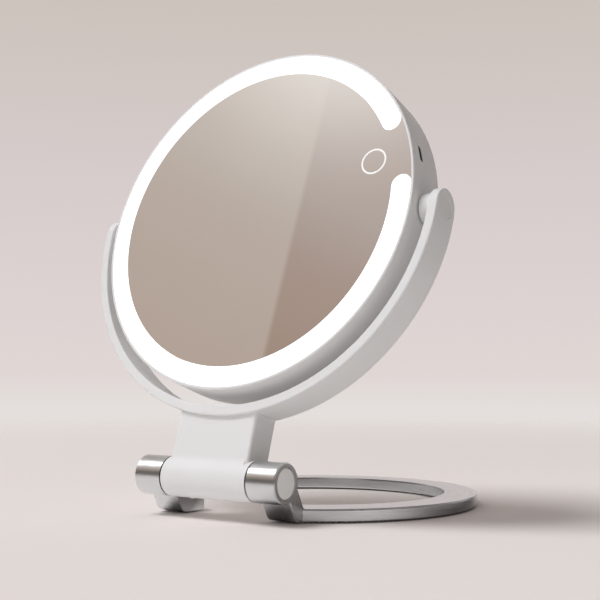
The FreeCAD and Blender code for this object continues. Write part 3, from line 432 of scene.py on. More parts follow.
@dataclass(frozen=True)
class LitOpal(Finish):
    """Opal acrylic lit from behind: an even white glow with slow, faint clouds from the diodes behind it.

    The light tone is the glow's colour, and the dark tone is that of the acrylic itself.
    """

    gloss_spread: float = 0.03
    ior: float = 1.49
    glow: float = 1.0
    dimmest: float = 0.95
    cloud_mm: float = 12.0

    def wire(self, surface: Surface) -> None:
        """Links the glow to the shader.

        Args:
            surface: shader and coordinates of the material.
        """
        noise = {"Vector": surface.coords, "Scale": per_metre(self.cloud_mm)}
        cloud = add_node(surface.tree, "ShaderNodeTexNoise", noise).outputs[0]
        self.gloss(surface, cloud)
        surface.shader.inputs["Base Color"].default_value = linear(self.dark)
        surface.shader.inputs["Emission Color"].default_value = linear(self.light)
        span = {"Value": cloud, "To Min": self.glow * self.dimmest, "To Max": self.glow}
        surface.link(add_node(surface.tree, "ShaderNodeMapRange", span).outputs[0], "Emission Strength")


@dataclass(frozen=True)
class CellFoam(Finish):
    """Open-cell foam or rubber: matt, with small round cells."""

    gloss_spread: float = 0.06
    cell_mm: float = 0.9
    cell_depth_mm: float = 0.1

    def wire(self, surface: Surface) -> None:
        """Links the cells to the shader.

        Args:
            surface: shader and coordinates of the material.
        """
        pattern = {"Vector": surface.coords, "Scale": per_metre(self.cell_mm)}
        cells = add_node(surface.tree, "ShaderNodeTexVoronoi", pattern).outputs["Distance"]
        self.tones(surface, cells)
        self.gloss(surface, cells)
        self.relief(surface, cells, self.cell_depth_mm)


@dataclass(frozen=True)
class PrintedBoard(Finish):
    """Lacquered circuit board: copper tracks show as lighter steps under the lacquer."""

    track_mm: float = 1.6
    track_edge: Span = (0.52, 0.58)
    track_depth_mm: float = 0.03

    def wire(self, surface: Surface) -> None:
        """Links the tracks to the shader.

        Args:
            surface: shader and coordinates of the material.
        """
        # a track and the gap beside it make one cell
        pattern = {"Vector": surface.coords, "Scale": per_metre(self.track_mm * 2)}
        cells = add_node(surface.tree, "ShaderNodeTexVoronoi", pattern, distance="MANHATTAN")
        low, high = self.track_edge
        edge = {"Value": cells.outputs["Distance"], "From Min": low, "From Max": high}
        step = add_node(surface.tree, "ShaderNodeMapRange", edge).outputs[0]
        self.tones(surface, step)
        self.gloss(surface, step)
        self.relief(surface, step, self.track_depth_mm)


@dataclass(frozen=True)
class CrimpedFoil(Finish):
    """Laminated foil of a pouch cell: soft wrinkles in a satin metal film."""

    gloss_spread: float = 0.1
    metallic: float = 1.0
    wrinkle_mm: float = 7.0
    wrinkle_depth_mm: float = 0.12

    def wire(self, surface: Surface) -> None:
        """Links the wrinkles to the shader.

        Args:
            surface: shader and coordinates of the material.
        """
        scale = per_metre(self.wrinkle_mm)
        noise = {"Vector": surface.coords, "Scale": scale, "Detail": 5.0, "Distortion": 0.8}
        wrinkles = add_node(surface.tree, "ShaderNodeTexNoise", noise).outputs[0]
        self.tones(surface, wrinkles)
        self.gloss(surface, wrinkles)
        self.relief(surface, wrinkles, self.wrinkle_depth_mm)


@dataclass(frozen=True)
class RoundShadePatch:
    """Round patch of painted shade on the floor that only metal sees, full up to the near radius and gone at
    the far one.
    """

    middle: Point
    near: float
    far: float
    weight: float

    def mask(self, tree: Tree, coords: Socket) -> Socket:
        """Marks the patch of painted shade.

        Args:
            tree: the floor material's tree.
            coords: object coordinates, in metres.

        Returns:
            0 on bare paper, the patch's weight at its middle.
        """
        ends = {0: coords, 1: tuple(Vector(self.middle) * MM)}
        away = add_node(tree, "ShaderNodeVectorMath", ends, operation="DISTANCE").outputs["Value"]
        span = {"From Min": self.near * MM, "From Max": self.far * MM, "To Min": self.weight, "To Max": 0.0}
        spread = {"Value": away, **span}
        return add_node(tree, "ShaderNodeMapRange", spread, interpolation_type="SMOOTHSTEP").outputs[0]


@dataclass(frozen=True)
class SeamlessPaper:
    """Seamless studio paper for the floor: matt, with a trace of fibre, fading into the backdrop.

    Matt surfaces get a more neutral light back from it, and metal sees painted shade on it, darker patches
    standing in for shadow in its reflections: a strip right of the ring, and round patches before the legs,
    in the ring's hollow and beside its front.
    """

    name: str = "seamless_paper"
    light: str = "F4EDEA"
    dark: str = "F3ECE9"
    bounced: str = "FAF6F4"
    # painted shade: the dark tone that metal sees on the floor, in place of shadow in its reflections
    shade_patch: str = "6B6665"
    # paper fibre is finer than 1 mm; it is drawn as wide clouds so that it shows
    fibre_mm: float = 40.0
    fade: Span = (450.0, 1300.0)
    # strip of painted shade right of the ring, as metal sees it
    strip_start: Span = (70.0, 92.0)
    strip_end: Span = (112.0, 135.0)
    strip_front: Span = (-45.0, 12.0)
    # round patches of painted shade before the legs, in the ring's hollow and beside the ring's front
    round_shade_patches: tuple[RoundShadePatch, ...] = (
        RoundShadePatch((30.0, -74.0, 0.0), 4.0, 15.0, 0.95),
        RoundShadePatch((0.0, 14.0, 0.0), 20.0, 64.0, 0.6),
        RoundShadePatch((64.0, -92.0, 0.0), 10.0, 50.0, 0.4),
        RoundShadePatch((-29.0, -73.0, 0.0), 2.0, 13.0, 0.95),
    )

    def material(self) -> bpy.types.Material:
        """Gives the paper as a material.

        Returns:
            The material with its nodes.
        """
        made = bpy.data.materials.new(self.name)
        made.use_nodes = True
        tree = made.node_tree
        tree.nodes.clear()
        coords = add_node(tree, "ShaderNodeTexCoord").outputs["Object"]
        rays = add_node(tree, "ShaderNodeLightPath").outputs
        noise = {"Vector": coords, "Scale": per_metre(self.fibre_mm), "Detail": 3.0}
        fibre = add_node(tree, "ShaderNodeTexNoise", noise).outputs[0]
        # metal sees painted shade in these patches, in place of shadow in its reflections
        hidden = {0: self.shade_patches(tree, coords), 1: rays["Is Glossy Ray"]}
        shade_in_metal = add_node(tree, "ShaderNodeMath", hidden, operation="MULTIPLY").outputs[0]
        layers = ((fibre, self.dark), (rays["Is Diffuse Ray"], self.bounced), (shade_in_metal, self.shade_patch))
        tone: Any = linear(self.light)
        for factor, colour in layers:
            colours = {0: factor, 6: tone, 7: linear(colour)}
            tone = add_node(tree, "ShaderNodeMix", colours, data_type="RGBA").outputs[2]
        paper = add_node(tree, "ShaderNodeBsdfDiffuse", {"Color": tone}).outputs[0]
        clear = add_node(tree, "ShaderNodeBsdfTransparent").outputs[0]
        reach = add_node(tree, "ShaderNodeVectorMath", {0: coords}, operation="LENGTH").outputs["Value"]
        near, far = self.fade
        span = {"Value": reach, "From Min": near * MM, "From Max": far * MM}
        gone = add_node(tree, "ShaderNodeMapRange", span, interpolation_type="SMOOTHSTEP").outputs[0]
        mixed = add_node(tree, "ShaderNodeMixShader", {0: gone, 1: paper, 2: clear})
        add_node(tree, "ShaderNodeOutputMaterial", {"Surface": mixed.outputs[0]})
        return made

    def shade_patches(self, tree: Tree, coords: Socket) -> Socket:
        """Marks where shade is painted on the floor for metal to see.

        Args:
            tree: the material's tree.
            coords: object coordinates, in metres.

        Returns:
            0 on bare paper, 1 where the shade is painted.
        """
        across, along, _ = add_node(tree, "ShaderNodeSeparateXYZ", {0: coords}).outputs
        starts = ((across, self.strip_start, 1.0), (along, self.strip_front, 1.0))
        edges = (*starts, (across, self.strip_end, 0.0))
        mask: Any = 1.0
        for place, (near, far), last in edges:
            span = {"From Min": near * MM, "From Max": far * MM, "To Min": 1.0 - last, "To Max": last}
            ranged = {"Value": place, **span}
            edge = add_node(tree, "ShaderNodeMapRange", ranged, interpolation_type="SMOOTHSTEP").outputs[0]
            mask = add_node(tree, "ShaderNodeMath", {0: mask, 1: edge}, operation="MULTIPLY").outputs[0]
        for shade_patch in self.round_shade_patches:
            both = {0: mask, 1: shade_patch.mask(tree, coords)}
            mask = add_node(tree, "ShaderNodeMath", both, operation="MAXIMUM").outputs[0]
        return mask


def add_object(name: str, data: bpy.types.ID) -> Object:
    """Puts a mesh, lamp or camera into the scene.

    Args:
        name: name of the object.
        data: its mesh, lamp or camera.

    Returns:
        The object, at the origin.
    """
    made = bpy.data.objects.new(name, data)
    bpy.context.scene.collection.objects.link(made)
    return made


def bake(piece: Object, modifier: bpy.types.Modifier) -> None:
    """Makes a modifier's result the object's plain mesh.

    Args:
        piece: object with the modifier.
        modifier: its only modifier, removed here.
    """
    graph = bpy.context.evaluated_depsgraph_get()
    mesh = bpy.data.meshes.new_from_object(piece.evaluated_get(graph))
    piece.modifiers.remove(modifier)
    piece.data = mesh


class RowShape(Enum):
    """How a row of equal pieces is laid out."""

    ARC = "arc"
    LINE = "line"


@dataclass
class Row:
    """Row of equal small pieces, laid out by Geometry Nodes along an arc or a line.

    An arc lies in the XY plane round the origin, with each piece's X pointing outwards; a line runs along Y.
    Start and step are angles on an arc and lengths on a line.
    """

    shape: RowShape
    count: int
    start: float
    step: float
    radius: float = 0.0
    sockets: ClassVar[tuple[tuple[str, str], ...]] = (
        ("Piece", "NodeSocketGeometry"),
        ("Count", "NodeSocketInt"),
        ("Start", "NodeSocketFloat"),
        ("Step", "NodeSocketFloat"),
        ("Radius", "NodeSocketFloat"),
        ("Finish", "NodeSocketMaterial"),
    )

    def tree(self) -> Tree:
        """Makes the node tree of this kind of row, once.

        Returns:
            The tree, with named inputs for its sizes.
        """
        name = f"row_on_{self.shape.value}"
        known = bpy.data.node_groups.get(name)
        if known:
            return known
        tree = bpy.data.node_groups.new(name, "GeometryNodeTree")
        for label, kind in self.sockets:
            tree.interface.new_socket(label, in_out="INPUT", socket_type=kind)
        tree.interface.new_socket("Row", in_out="OUTPUT", socket_type="NodeSocketGeometry")
        sizes = add_node(tree, "NodeGroupInput").outputs
        index = add_node(tree, "GeometryNodeInputIndex").outputs[0]
        steps = {0: index, 1: sizes["Step"], 2: sizes["Start"]}
        along = add_node(tree, "ShaderNodeMath", steps, operation="MULTIPLY_ADD").outputs[0]
        if self.shape is RowShape.ARC:
            cosine = add_node(tree, "ShaderNodeMath", {0: along}, operation="COSINE").outputs[0]
            sine = add_node(tree, "ShaderNodeMath", {0: along}, operation="SINE").outputs[0]
            unit = add_node(tree, "ShaderNodeCombineXYZ", {0: cosine, 1: sine}).outputs[0]
            out = {0: unit, "Scale": sizes["Radius"]}
            place = add_node(tree, "ShaderNodeVectorMath", out, operation="SCALE").outputs[0]
            turn = add_node(tree, "ShaderNodeCombineXYZ", {2: along}).outputs[0]
        else:
            place = add_node(tree, "ShaderNodeCombineXYZ", {1: along}).outputs[0]
            turn = (0.0, 0.0, 0.0)
        points = add_node(tree, "GeometryNodePoints", {"Count": sizes["Count"], "Position": place}).outputs[0]
        copies = {"Points": points, "Instance": sizes["Piece"], "Rotation": turn}
        placed = add_node(tree, "GeometryNodeInstanceOnPoints", copies).outputs[0]
        real = add_node(tree, "GeometryNodeRealizeInstances", {0: placed}).outputs[0]
        dressed = add_node(tree, "GeometryNodeSetMaterial", {"Geometry": real, "Material": sizes["Finish"]})
        add_node(tree, "NodeGroupOutput", {0: dressed.outputs[0]})
        return tree

    def build(self, name: str, piece: Mesh, finish: Finish, place: Matrix) -> Object:
        """Lays out the row and bakes it to a plain mesh.

        Args:
            name: name of the new object.
            piece: mesh of one piece, in metres, removed here.
            finish: finish of all pieces.
            place: from the row's own plane to the part's frame.

        Returns:
            The row as one object at the origin.
        """
        row = add_object(name, piece)
        tree = self.tree()
        unit = math.radians(1) if self.shape is RowShape.ARC else MM
        values = {
            "Count": self.count,
            "Start": self.start * unit,
            "Step": self.step * unit,
            "Radius": self.radius * MM,
            "Finish": finish.material(),
        }
        modifier = row.modifiers.new("row", "NODES")
        modifier.node_group = tree
        for item in tree.interface.items_tree:
            if item.in_out == "INPUT" and item.name in values:
                modifier[item.identifier] = values[item.name]
        bake(row, modifier)
        bpy.data.meshes.remove(piece)
        row.data.name = name
        row.data.transform(place)
        return row


def turned_piece(name: str, outline: list[Span], sides: int) -> Mesh:
    """Turns an outline round Z into a closed mesh.

    Args:
        name: name of the mesh.
        outline: radius and height of each point, from the lower pole to the upper one.
        sides: number of sides of each ring.

    Returns:
        The mesh, in metres.
    """
    work = bmesh.new()
    angles = [2 * math.pi * i / sides for i in range(sides)]
    rings = []
    for radius, height in outline:
        if radius == 0:
            rings.append([work.verts.new((0, 0, height * MM))])
            continue
        wide = radius * MM
        rings.append([work.verts.new((wide * math.cos(a), wide * math.sin(a), height * MM)) for a in angles])
    for low, high in zip(rings, rings[1:]):
        for i in range(sides):
            j = (i + 1) % sides
            corners = [low[i % len(low)], low[j % len(low)], high[j % len(high)], high[i % len(high)]]
            work.faces.new(list(dict.fromkeys(corners)))
    bmesh.ops.recalc_face_normals(work, faces=work.faces)
    return finish_mesh(work, name)


def rounded_block(name: str, size: Point, centre: Point, edge: float) -> Mesh:
    """Makes a block with bevelled edges.

    Args:
        name: name of the mesh.
        size: length, width and height.
        centre: its middle.
        edge: width of the bevel.

    Returns:
        The mesh, in metres.
    """
    work = bmesh.new()
    bmesh.ops.create_cube(work, size=1.0)
    bmesh.ops.scale(work, vec=Vector(size) * MM, verts=work.verts)
    bmesh.ops.translate(work, vec=Vector(centre) * MM, verts=work.verts)
    bmesh.ops.bevel(work, geom=work.edges[:], offset=edge * MM, segments=1, affect="EDGES")
    return finish_mesh(work, name)


def finish_mesh(work: bmesh.types.BMesh, name: str, smooth_deg: float = 35.0) -> Mesh:
    """Turns a working mesh into a mesh with smooth faces and crisp edges.

    Args:
        work: working mesh, freed here.
        name: name of the mesh.
        smooth_deg: edges sharper than this stay crisp.

    Returns:
        The mesh.
    """
    mesh = bpy.data.meshes.new(name)
    work.to_mesh(mesh)
    work.free()
    mesh.polygons.foreach_set("use_smooth", [True] * len(mesh.polygons))
    mesh.set_sharp_from_angle(angle=math.radians(smooth_deg))
    return mesh


def joint_frame(joint: str, lean: float) -> Matrix:
    """From an upright body, with its joint at the origin, to the part's frame.

    Args:
        joint: name of the joint that carries the body.
        lean: how far the body leans back at rest.

    Returns:
        The body's place and turn.
    """
    return Matrix.Translation(joint_place(joint)) @ Matrix.Rotation(-math.radians(lean), 4, "X")


def joint_place(name: str) -> Vector:
    """Place of a joint's axis in the part's frame, in metres."""
    return Vector(next(j["pos_m"] for j in frame["joints"] if j["name"] == name))


def dress(finish: Finish, *nodes: str) -> None:
    """Gives CAD nodes a finish.

    Args:
        finish: finish to give.
        nodes: names of the nodes.
    """
    made = finish.material()
    for node in nodes:
        slots = frame["nodes"][node].data.materials
        slots.clear()
        slots.append(made)
        LOG.info("%s: %s", node, finish.name)


def settle(piece: Object, body: str, slot: str, *nodes: str) -> None:
    """Ties a new piece to its body and hides the CAD nodes it stands for.

    Args:
        piece: the new piece.
        body: CAD body that carries it.
        slot: slot of the record that names its material; not used.
        nodes: CAD nodes that it stands for, if any.
    """
    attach(piece, body)
    if nodes:
        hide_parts(*nodes)
    LOG.info("%s rides on %s, %d faces", piece.name, body, len(piece.data.polygons))


@dataclass
class CrossScrew:
    """Pan-head screw with a cross recess, head up, seat at height 0.

    The core is a share of the shank's radius, flank and runout are shares of the thread's pitch, and dome and
    recess are shares of the head's radius and height.
    """

    shank_radius: float
    shank_length: float
    head_radius: float
    head_height: float
    thread_pitch: float = 0.6
    sides: int = 20
    core: float = 0.78
    flank: float = 0.4
    runout: float = 0.5
    dome: tuple[Span, ...] = ((1.0, 0.45), (0.9, 0.8), (0.65, 1.0), (0.0, 1.0))
    recess: Point = (1.1, 0.28, 0.7)
    recess_edge: float = 0.05

    def outline(self) -> list[Span]:
        """Gives the screw's half section.

        Returns:
            Radius and height of each point, from the tip to the top.
        """
        core = self.shank_radius * self.core
        points = [(0.0, -self.shank_length), (core, -self.shank_length)]
        height = -self.shank_length + self.thread_pitch
        while height < -self.thread_pitch:
            points += [(core, height - self.thread_pitch * self.flank), (self.shank_radius, height)]
            height += self.thread_pitch
        points.append((core, -self.thread_pitch * self.runout))
        points += [(self.shank_radius, 0.0), (self.head_radius, 0.0)]
        return points + [(self.head_radius * wide, self.head_height * high) for wide, high in self.dome]

    def mesh(self, name: str) -> Mesh:
        """Builds one screw.

        Args:
            name: name of the mesh.

        Returns:
            The screw with its recess cut.
        """
        screw = add_object(name, turned_piece(name, self.outline(), self.sides))
        long, wide, deep = self.recess
        arm, blade, depth = self.head_radius * long, self.head_radius * wide, self.head_height * deep
        for size in ((arm, blade, depth * 2), (blade, arm, depth * 2)):
            slot = rounded_block(f"{name}_slot", size, (0, 0, self.head_height), self.recess_edge)
            tool = add_object(f"{name}_slot", slot)
            cut = screw.modifiers.new("recess", "BOOLEAN")
            cut.object = tool
            cut.operation = "DIFFERENCE"
            bake(screw, cut)
            bpy.data.objects.remove(tool)
        mesh = screw.data
        bpy.data.objects.remove(screw)
        return mesh


# zinc-plated steel: bright bluish grey under a cloudy plating
PLATED_STEEL = PlatedMetal("zinc_plated_steel", "C9CBCE", "AEB1B6", roughness=0.28)
# ABS from a spark-eroded mould: an even white with a broad soft sheen
STAND_WHITE = MouldedPlastic("white_abs_satin", "F0F0F0", "ECECEC", roughness=0.5, ior=1.53)
# ABS from a finer mould: an even white, a little glossier than the stand
CASE_WHITE = MouldedPlastic(
    "pearl_white_abs", "F1F1F1", "ECEBEB", roughness=0.4, ior=1.53, grain_depth_mm=0.0015
)
# acetal: dark grey and dull
BEARING = MouldedPlastic("acetal_dark_grey", "3C3C3E", "333335", roughness=0.5, ior=1.48)


@dataclass
class BaseStand:
    """Base ring with its legs, knuckles, hinge bolt and rubber tread."""

    pad_radius: float = 75.6
    pad_width: float = 8.0
    pad_height: float = 1.9
    pad_end: float = 28.6
    pad_end_deg: float = 1.5
    rib_height: float = 0.18
    rib_width: float = 1.2
    rib_slope: float = 0.15
    rib_pitch: float = 2.4
    rib_smooth_deg: float = 20.0
    ring_radius: float = 84.0
    # silicone rubber: dark and matt, with pores that are drawn coarser than they are so that they show
    pad_rubber: Finish = CellFoam(
        "silicone_rubber_grey", "3A3A3C", "2E2E30", roughness=0.72, cell_mm=0.5, cell_depth_mm=0.01
    )

    def centre(self) -> Vector:
        """Middle of the ring on the floor, in metres."""
        _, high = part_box("base_ring")
        return Vector((0, high.y - self.ring_radius * MM, 0))

    def dress(self) -> None:
        """Gives the base's CAD nodes their finishes."""
        hinge = tuple(joint_place("base_hinge"))
        # brushed cast aluminium: bright, with streaks along the ring and soft bands on the knuckles
        ring = RingAluminium(
            "satin_cast_aluminium",
            "F6FAFD",
            "D2D6D9",
            roughness=0.24,
            ring_centre=tuple(self.centre()),
            ring_mid=self.pad_radius,
            hinge=hinge,
        )
        # lacquered aluminium disc: pale and even, with faint circles
        cap = TurnedMetal(
            "turned_cap_aluminium", "FFFFFD", "FAFAF8", roughness=0.5, metallic=0.1, centre=hinge
        )
        # spring steel: darker grey, with circles from grinding
        spring = TurnedMetal("spring_steel", "A6A8AC", "8E9094", roughness=0.3, centre=hinge)
        dress(ring, "base_ring")
        dress(cap, "hinge_end_caps")
        dress(PLATED_STEEL, "hinge_bolt", "hinge_nut")
        dress(spring, "hinge_spring_washers")
        dress(BEARING, "hinge_friction_washers")

    def build_tread(self) -> None:
        """Builds the rubber strip under the ring, with ribs across it."""
        half_gap = math.degrees(math.asin(self.pad_end / self.pad_radius)) + self.pad_end_deg
        sweep = 360 - 2 * half_gap
        count = int(math.radians(sweep) * self.pad_radius / self.rib_pitch)
        step = sweep / count
        # a rib with its share of the strip, so that the row closes to one band
        rib = self.rib_mesh(math.radians(step) * self.pad_radius)
        row = Row(RowShape.ARC, count, -90 + half_gap + step / 2, step, self.pad_radius)
        tread = row.build("pad_tread", rib, self.pad_rubber, Matrix.Translation(self.centre()))
        settle(tread, "base", "pad_rubber", "base_pad")

    def rib_mesh(self, length: float) -> Mesh:
        """Makes one rib on its share of the strip.

        Args:
            length: length of the share along the strip.

        Returns:
            The mesh, with X outwards, in metres.
        """
        half, wide, low = self.pad_width / 2, self.rib_width / 2, self.rib_height
        right = [(wide, 0.0), (wide + self.rib_slope, low), (length / 2, low)]
        section = [(-y, z) for y, z in reversed(right)] + right
        work = bmesh.new()
        columns = []
        for side in (-half, half):
            grow = 1 + side / self.pad_radius
            lower = [work.verts.new(Vector((side, y * grow, z)) * MM) for y, z in section]
            ends = (section[0], section[-1])
            upper = [work.verts.new(Vector((side, y * grow, self.pad_height)) * MM) for y, _ in ends]
            columns.append((lower, upper))
        (low_in, up_in), (low_out, up_out) = columns
        for i in range(len(section) - 1):
            work.faces.new((low_in[i], low_in[i + 1], low_out[i + 1], low_out[i]))
        work.faces.new((up_in[0], up_in[1], up_out[1], up_out[0]))
        for lower, upper in columns:
            work.faces.new([*lower, upper[1], upper[0]])
        for end in (0, -1):
            work.faces.new((low_in[end], low_out[end], up_out[end], up_in[end]))
        bmesh.ops.recalc_face_normals(work, faces=work.faces)
        return finish_mesh(work, "rib", self.rib_smooth_deg)


@dataclass
class Arm:
    """Neck, yoke and pivots."""

    lean: float = 17.4
    screw: CrossScrew = field(default_factory=lambda: CrossScrew(1.45, 9.0, 2.7, 1.8))

    def dress(self) -> None:
        """Gives the arm's CAD nodes their finishes."""
        dress(STAND_WHITE, "neck", "neck_cover", "yoke", "pivot_collars", "pivot_caps")
        dress(BEARING, "hinge_bushes", "pivot_washers")
        dress(PLATED_STEEL, "pivot_pins", "pivot_clips")

    def build_screws(self) -> None:
        """Builds the two screws that hold the yoke, heads down in the pocket."""
        place = joint_frame("base_hinge", self.lean)
        back = place.inverted()
        points = [back @ v.co / MM for v in frame["nodes"]["neck_screws"].data.vertices]
        spread = max(p.x for p in points) - self.screw.head_radius
        middle = (max(p.y for p in points) + min(p.y for p in points)) / 2
        seat = min(p.z for p in points) + self.screw.head_height
        self.screw.shank_length = max(p.z for p in points) - seat
        row = Row(RowShape.LINE, 2, -spread, 2 * spread)
        down = Matrix.Translation(Vector((0, middle, seat)) * MM) @ Matrix.Rotation(math.pi, 4, "X")
        turned = down @ Matrix.Rotation(math.pi / 2, 4, "Z")
        screws = row.build("yoke_screws", self.screw.mesh("yoke_screw"), PLATED_STEEL, place @ turned)
        settle(screws, "arm", "steel", "neck_screws")


@dataclass
class MirrorHead:
    """Case, both mirrors and the light band."""

    lean: float = 17.8
    post_circle: float = 74.0
    post_start: float = 47.6
    post_count: int = 6
    flange_back: float = 6.6
    dish_radius: float = 84.2
    dish_curve: float = 450.0
    dish_rim: float = 12.4
    dish_thickness: float = 2.0
    dish_edge: float = 0.3
    dish_rings: int = 24
    dish_sides: int = 160
    screw: CrossScrew = field(default_factory=lambda: CrossScrew(1.1, 9.0, 2.2, 1.4))
    # opal acrylic over the diodes: an even white glow
    opal: Finish = LitOpal("opal_acrylic_lit", "FFFFFF", "B4B4B6", roughness=0.3)
    # opal acrylic with little light behind it: a pale mark
    mark: Finish = LitOpal("opal_touch_mark", "FFFFFF", "E8E6E4", roughness=0.25, glow=0.3, cloud_mm=4.0)
    # silvered float glass: a clear, neutral reflection
    glass: Finish = SilveredGlass("silvered_glass", "F3F3F2", "F0F0EF")

    def facing(self, depth: float, turn: float) -> Matrix:
        """From a plane at a depth in the head to the part's frame.

        Args:
            depth: distance behind the pivots.
            turn: 90 for a plane with Z to the front, -90 for one with Z to the rear.

        Returns:
            The plane's place and turn.
        """
        plane = Matrix.Translation((0, depth * MM, 0)) @ Matrix.Rotation(math.radians(turn), 4, "X")
        return joint_frame("head_tilt", self.lean) @ plane

    def front(self, depth: float) -> Matrix:
        """From a plane with Z to the front, at a depth in the head, to the part's frame."""
        return self.facing(depth, 90.0)

    def rear(self, depth: float) -> Matrix:
        """From a plane with Z to the rear, at a depth in the head, to the part's frame."""
        return self.facing(depth, -90.0)

    def dress(self) -> None:
        """Gives the head's CAD nodes their finishes."""
        dress(CASE_WHITE, "case", "rear_bezel")
        dress(self.glass, "front_glass", "rear_glass")
        dress(self.opal, "light_band")
        dress(self.mark, "touch_ring")
        dress(BEARING, "pivot_bushes")

    def build_screws(self) -> None:
        """Builds the screws from the rear bezel into the frame's posts."""
        row = Row(RowShape.ARC, self.post_count, -self.post_start, -360 / self.post_count, self.post_circle)
        piece = self.screw.mesh("bezel_screw")
        screws = row.build("bezel_screws", piece, PLATED_STEEL, self.rear(self.flange_back))
        settle(screws, "head", "steel", "frame_screws")

    def hollow(self, depth: float, reach: float) -> list[Span]:
        """Gives a hollow of the magnifying mirror from its middle outwards.

        Args:
            depth: how far it lies under the shown face.
            reach: radius at which it ends.

        Returns:
            Radius and height of each point.
        """
        centre = self.dish_rim + math.sqrt(self.dish_curve**2 - self.dish_radius**2)
        curve = self.dish_curve + depth
        radii = [reach * i / self.dish_rings for i in range(self.dish_rings + 1)]
        return [(radius, centre - math.sqrt(curve**2 - radius**2)) for radius in radii]

    def build_dish(self) -> None:
        """Builds the magnifying mirror as a turned dish, which shades evenly up to its middle."""
        hidden = self.hollow(self.dish_thickness, self.dish_radius)
        shown = self.hollow(0.0, self.dish_radius - self.dish_edge)
        rim = (self.dish_radius, self.dish_rim - self.dish_edge)
        mesh = turned_piece("magnifying_mirror", [*hidden, rim, *reversed(shown)], self.dish_sides)
        mesh.transform(self.rear(0.0))
        mesh.materials.append(self.glass.material())
        settle(add_object("magnifying_mirror", mesh), "head", "mirror", "rear_glass")


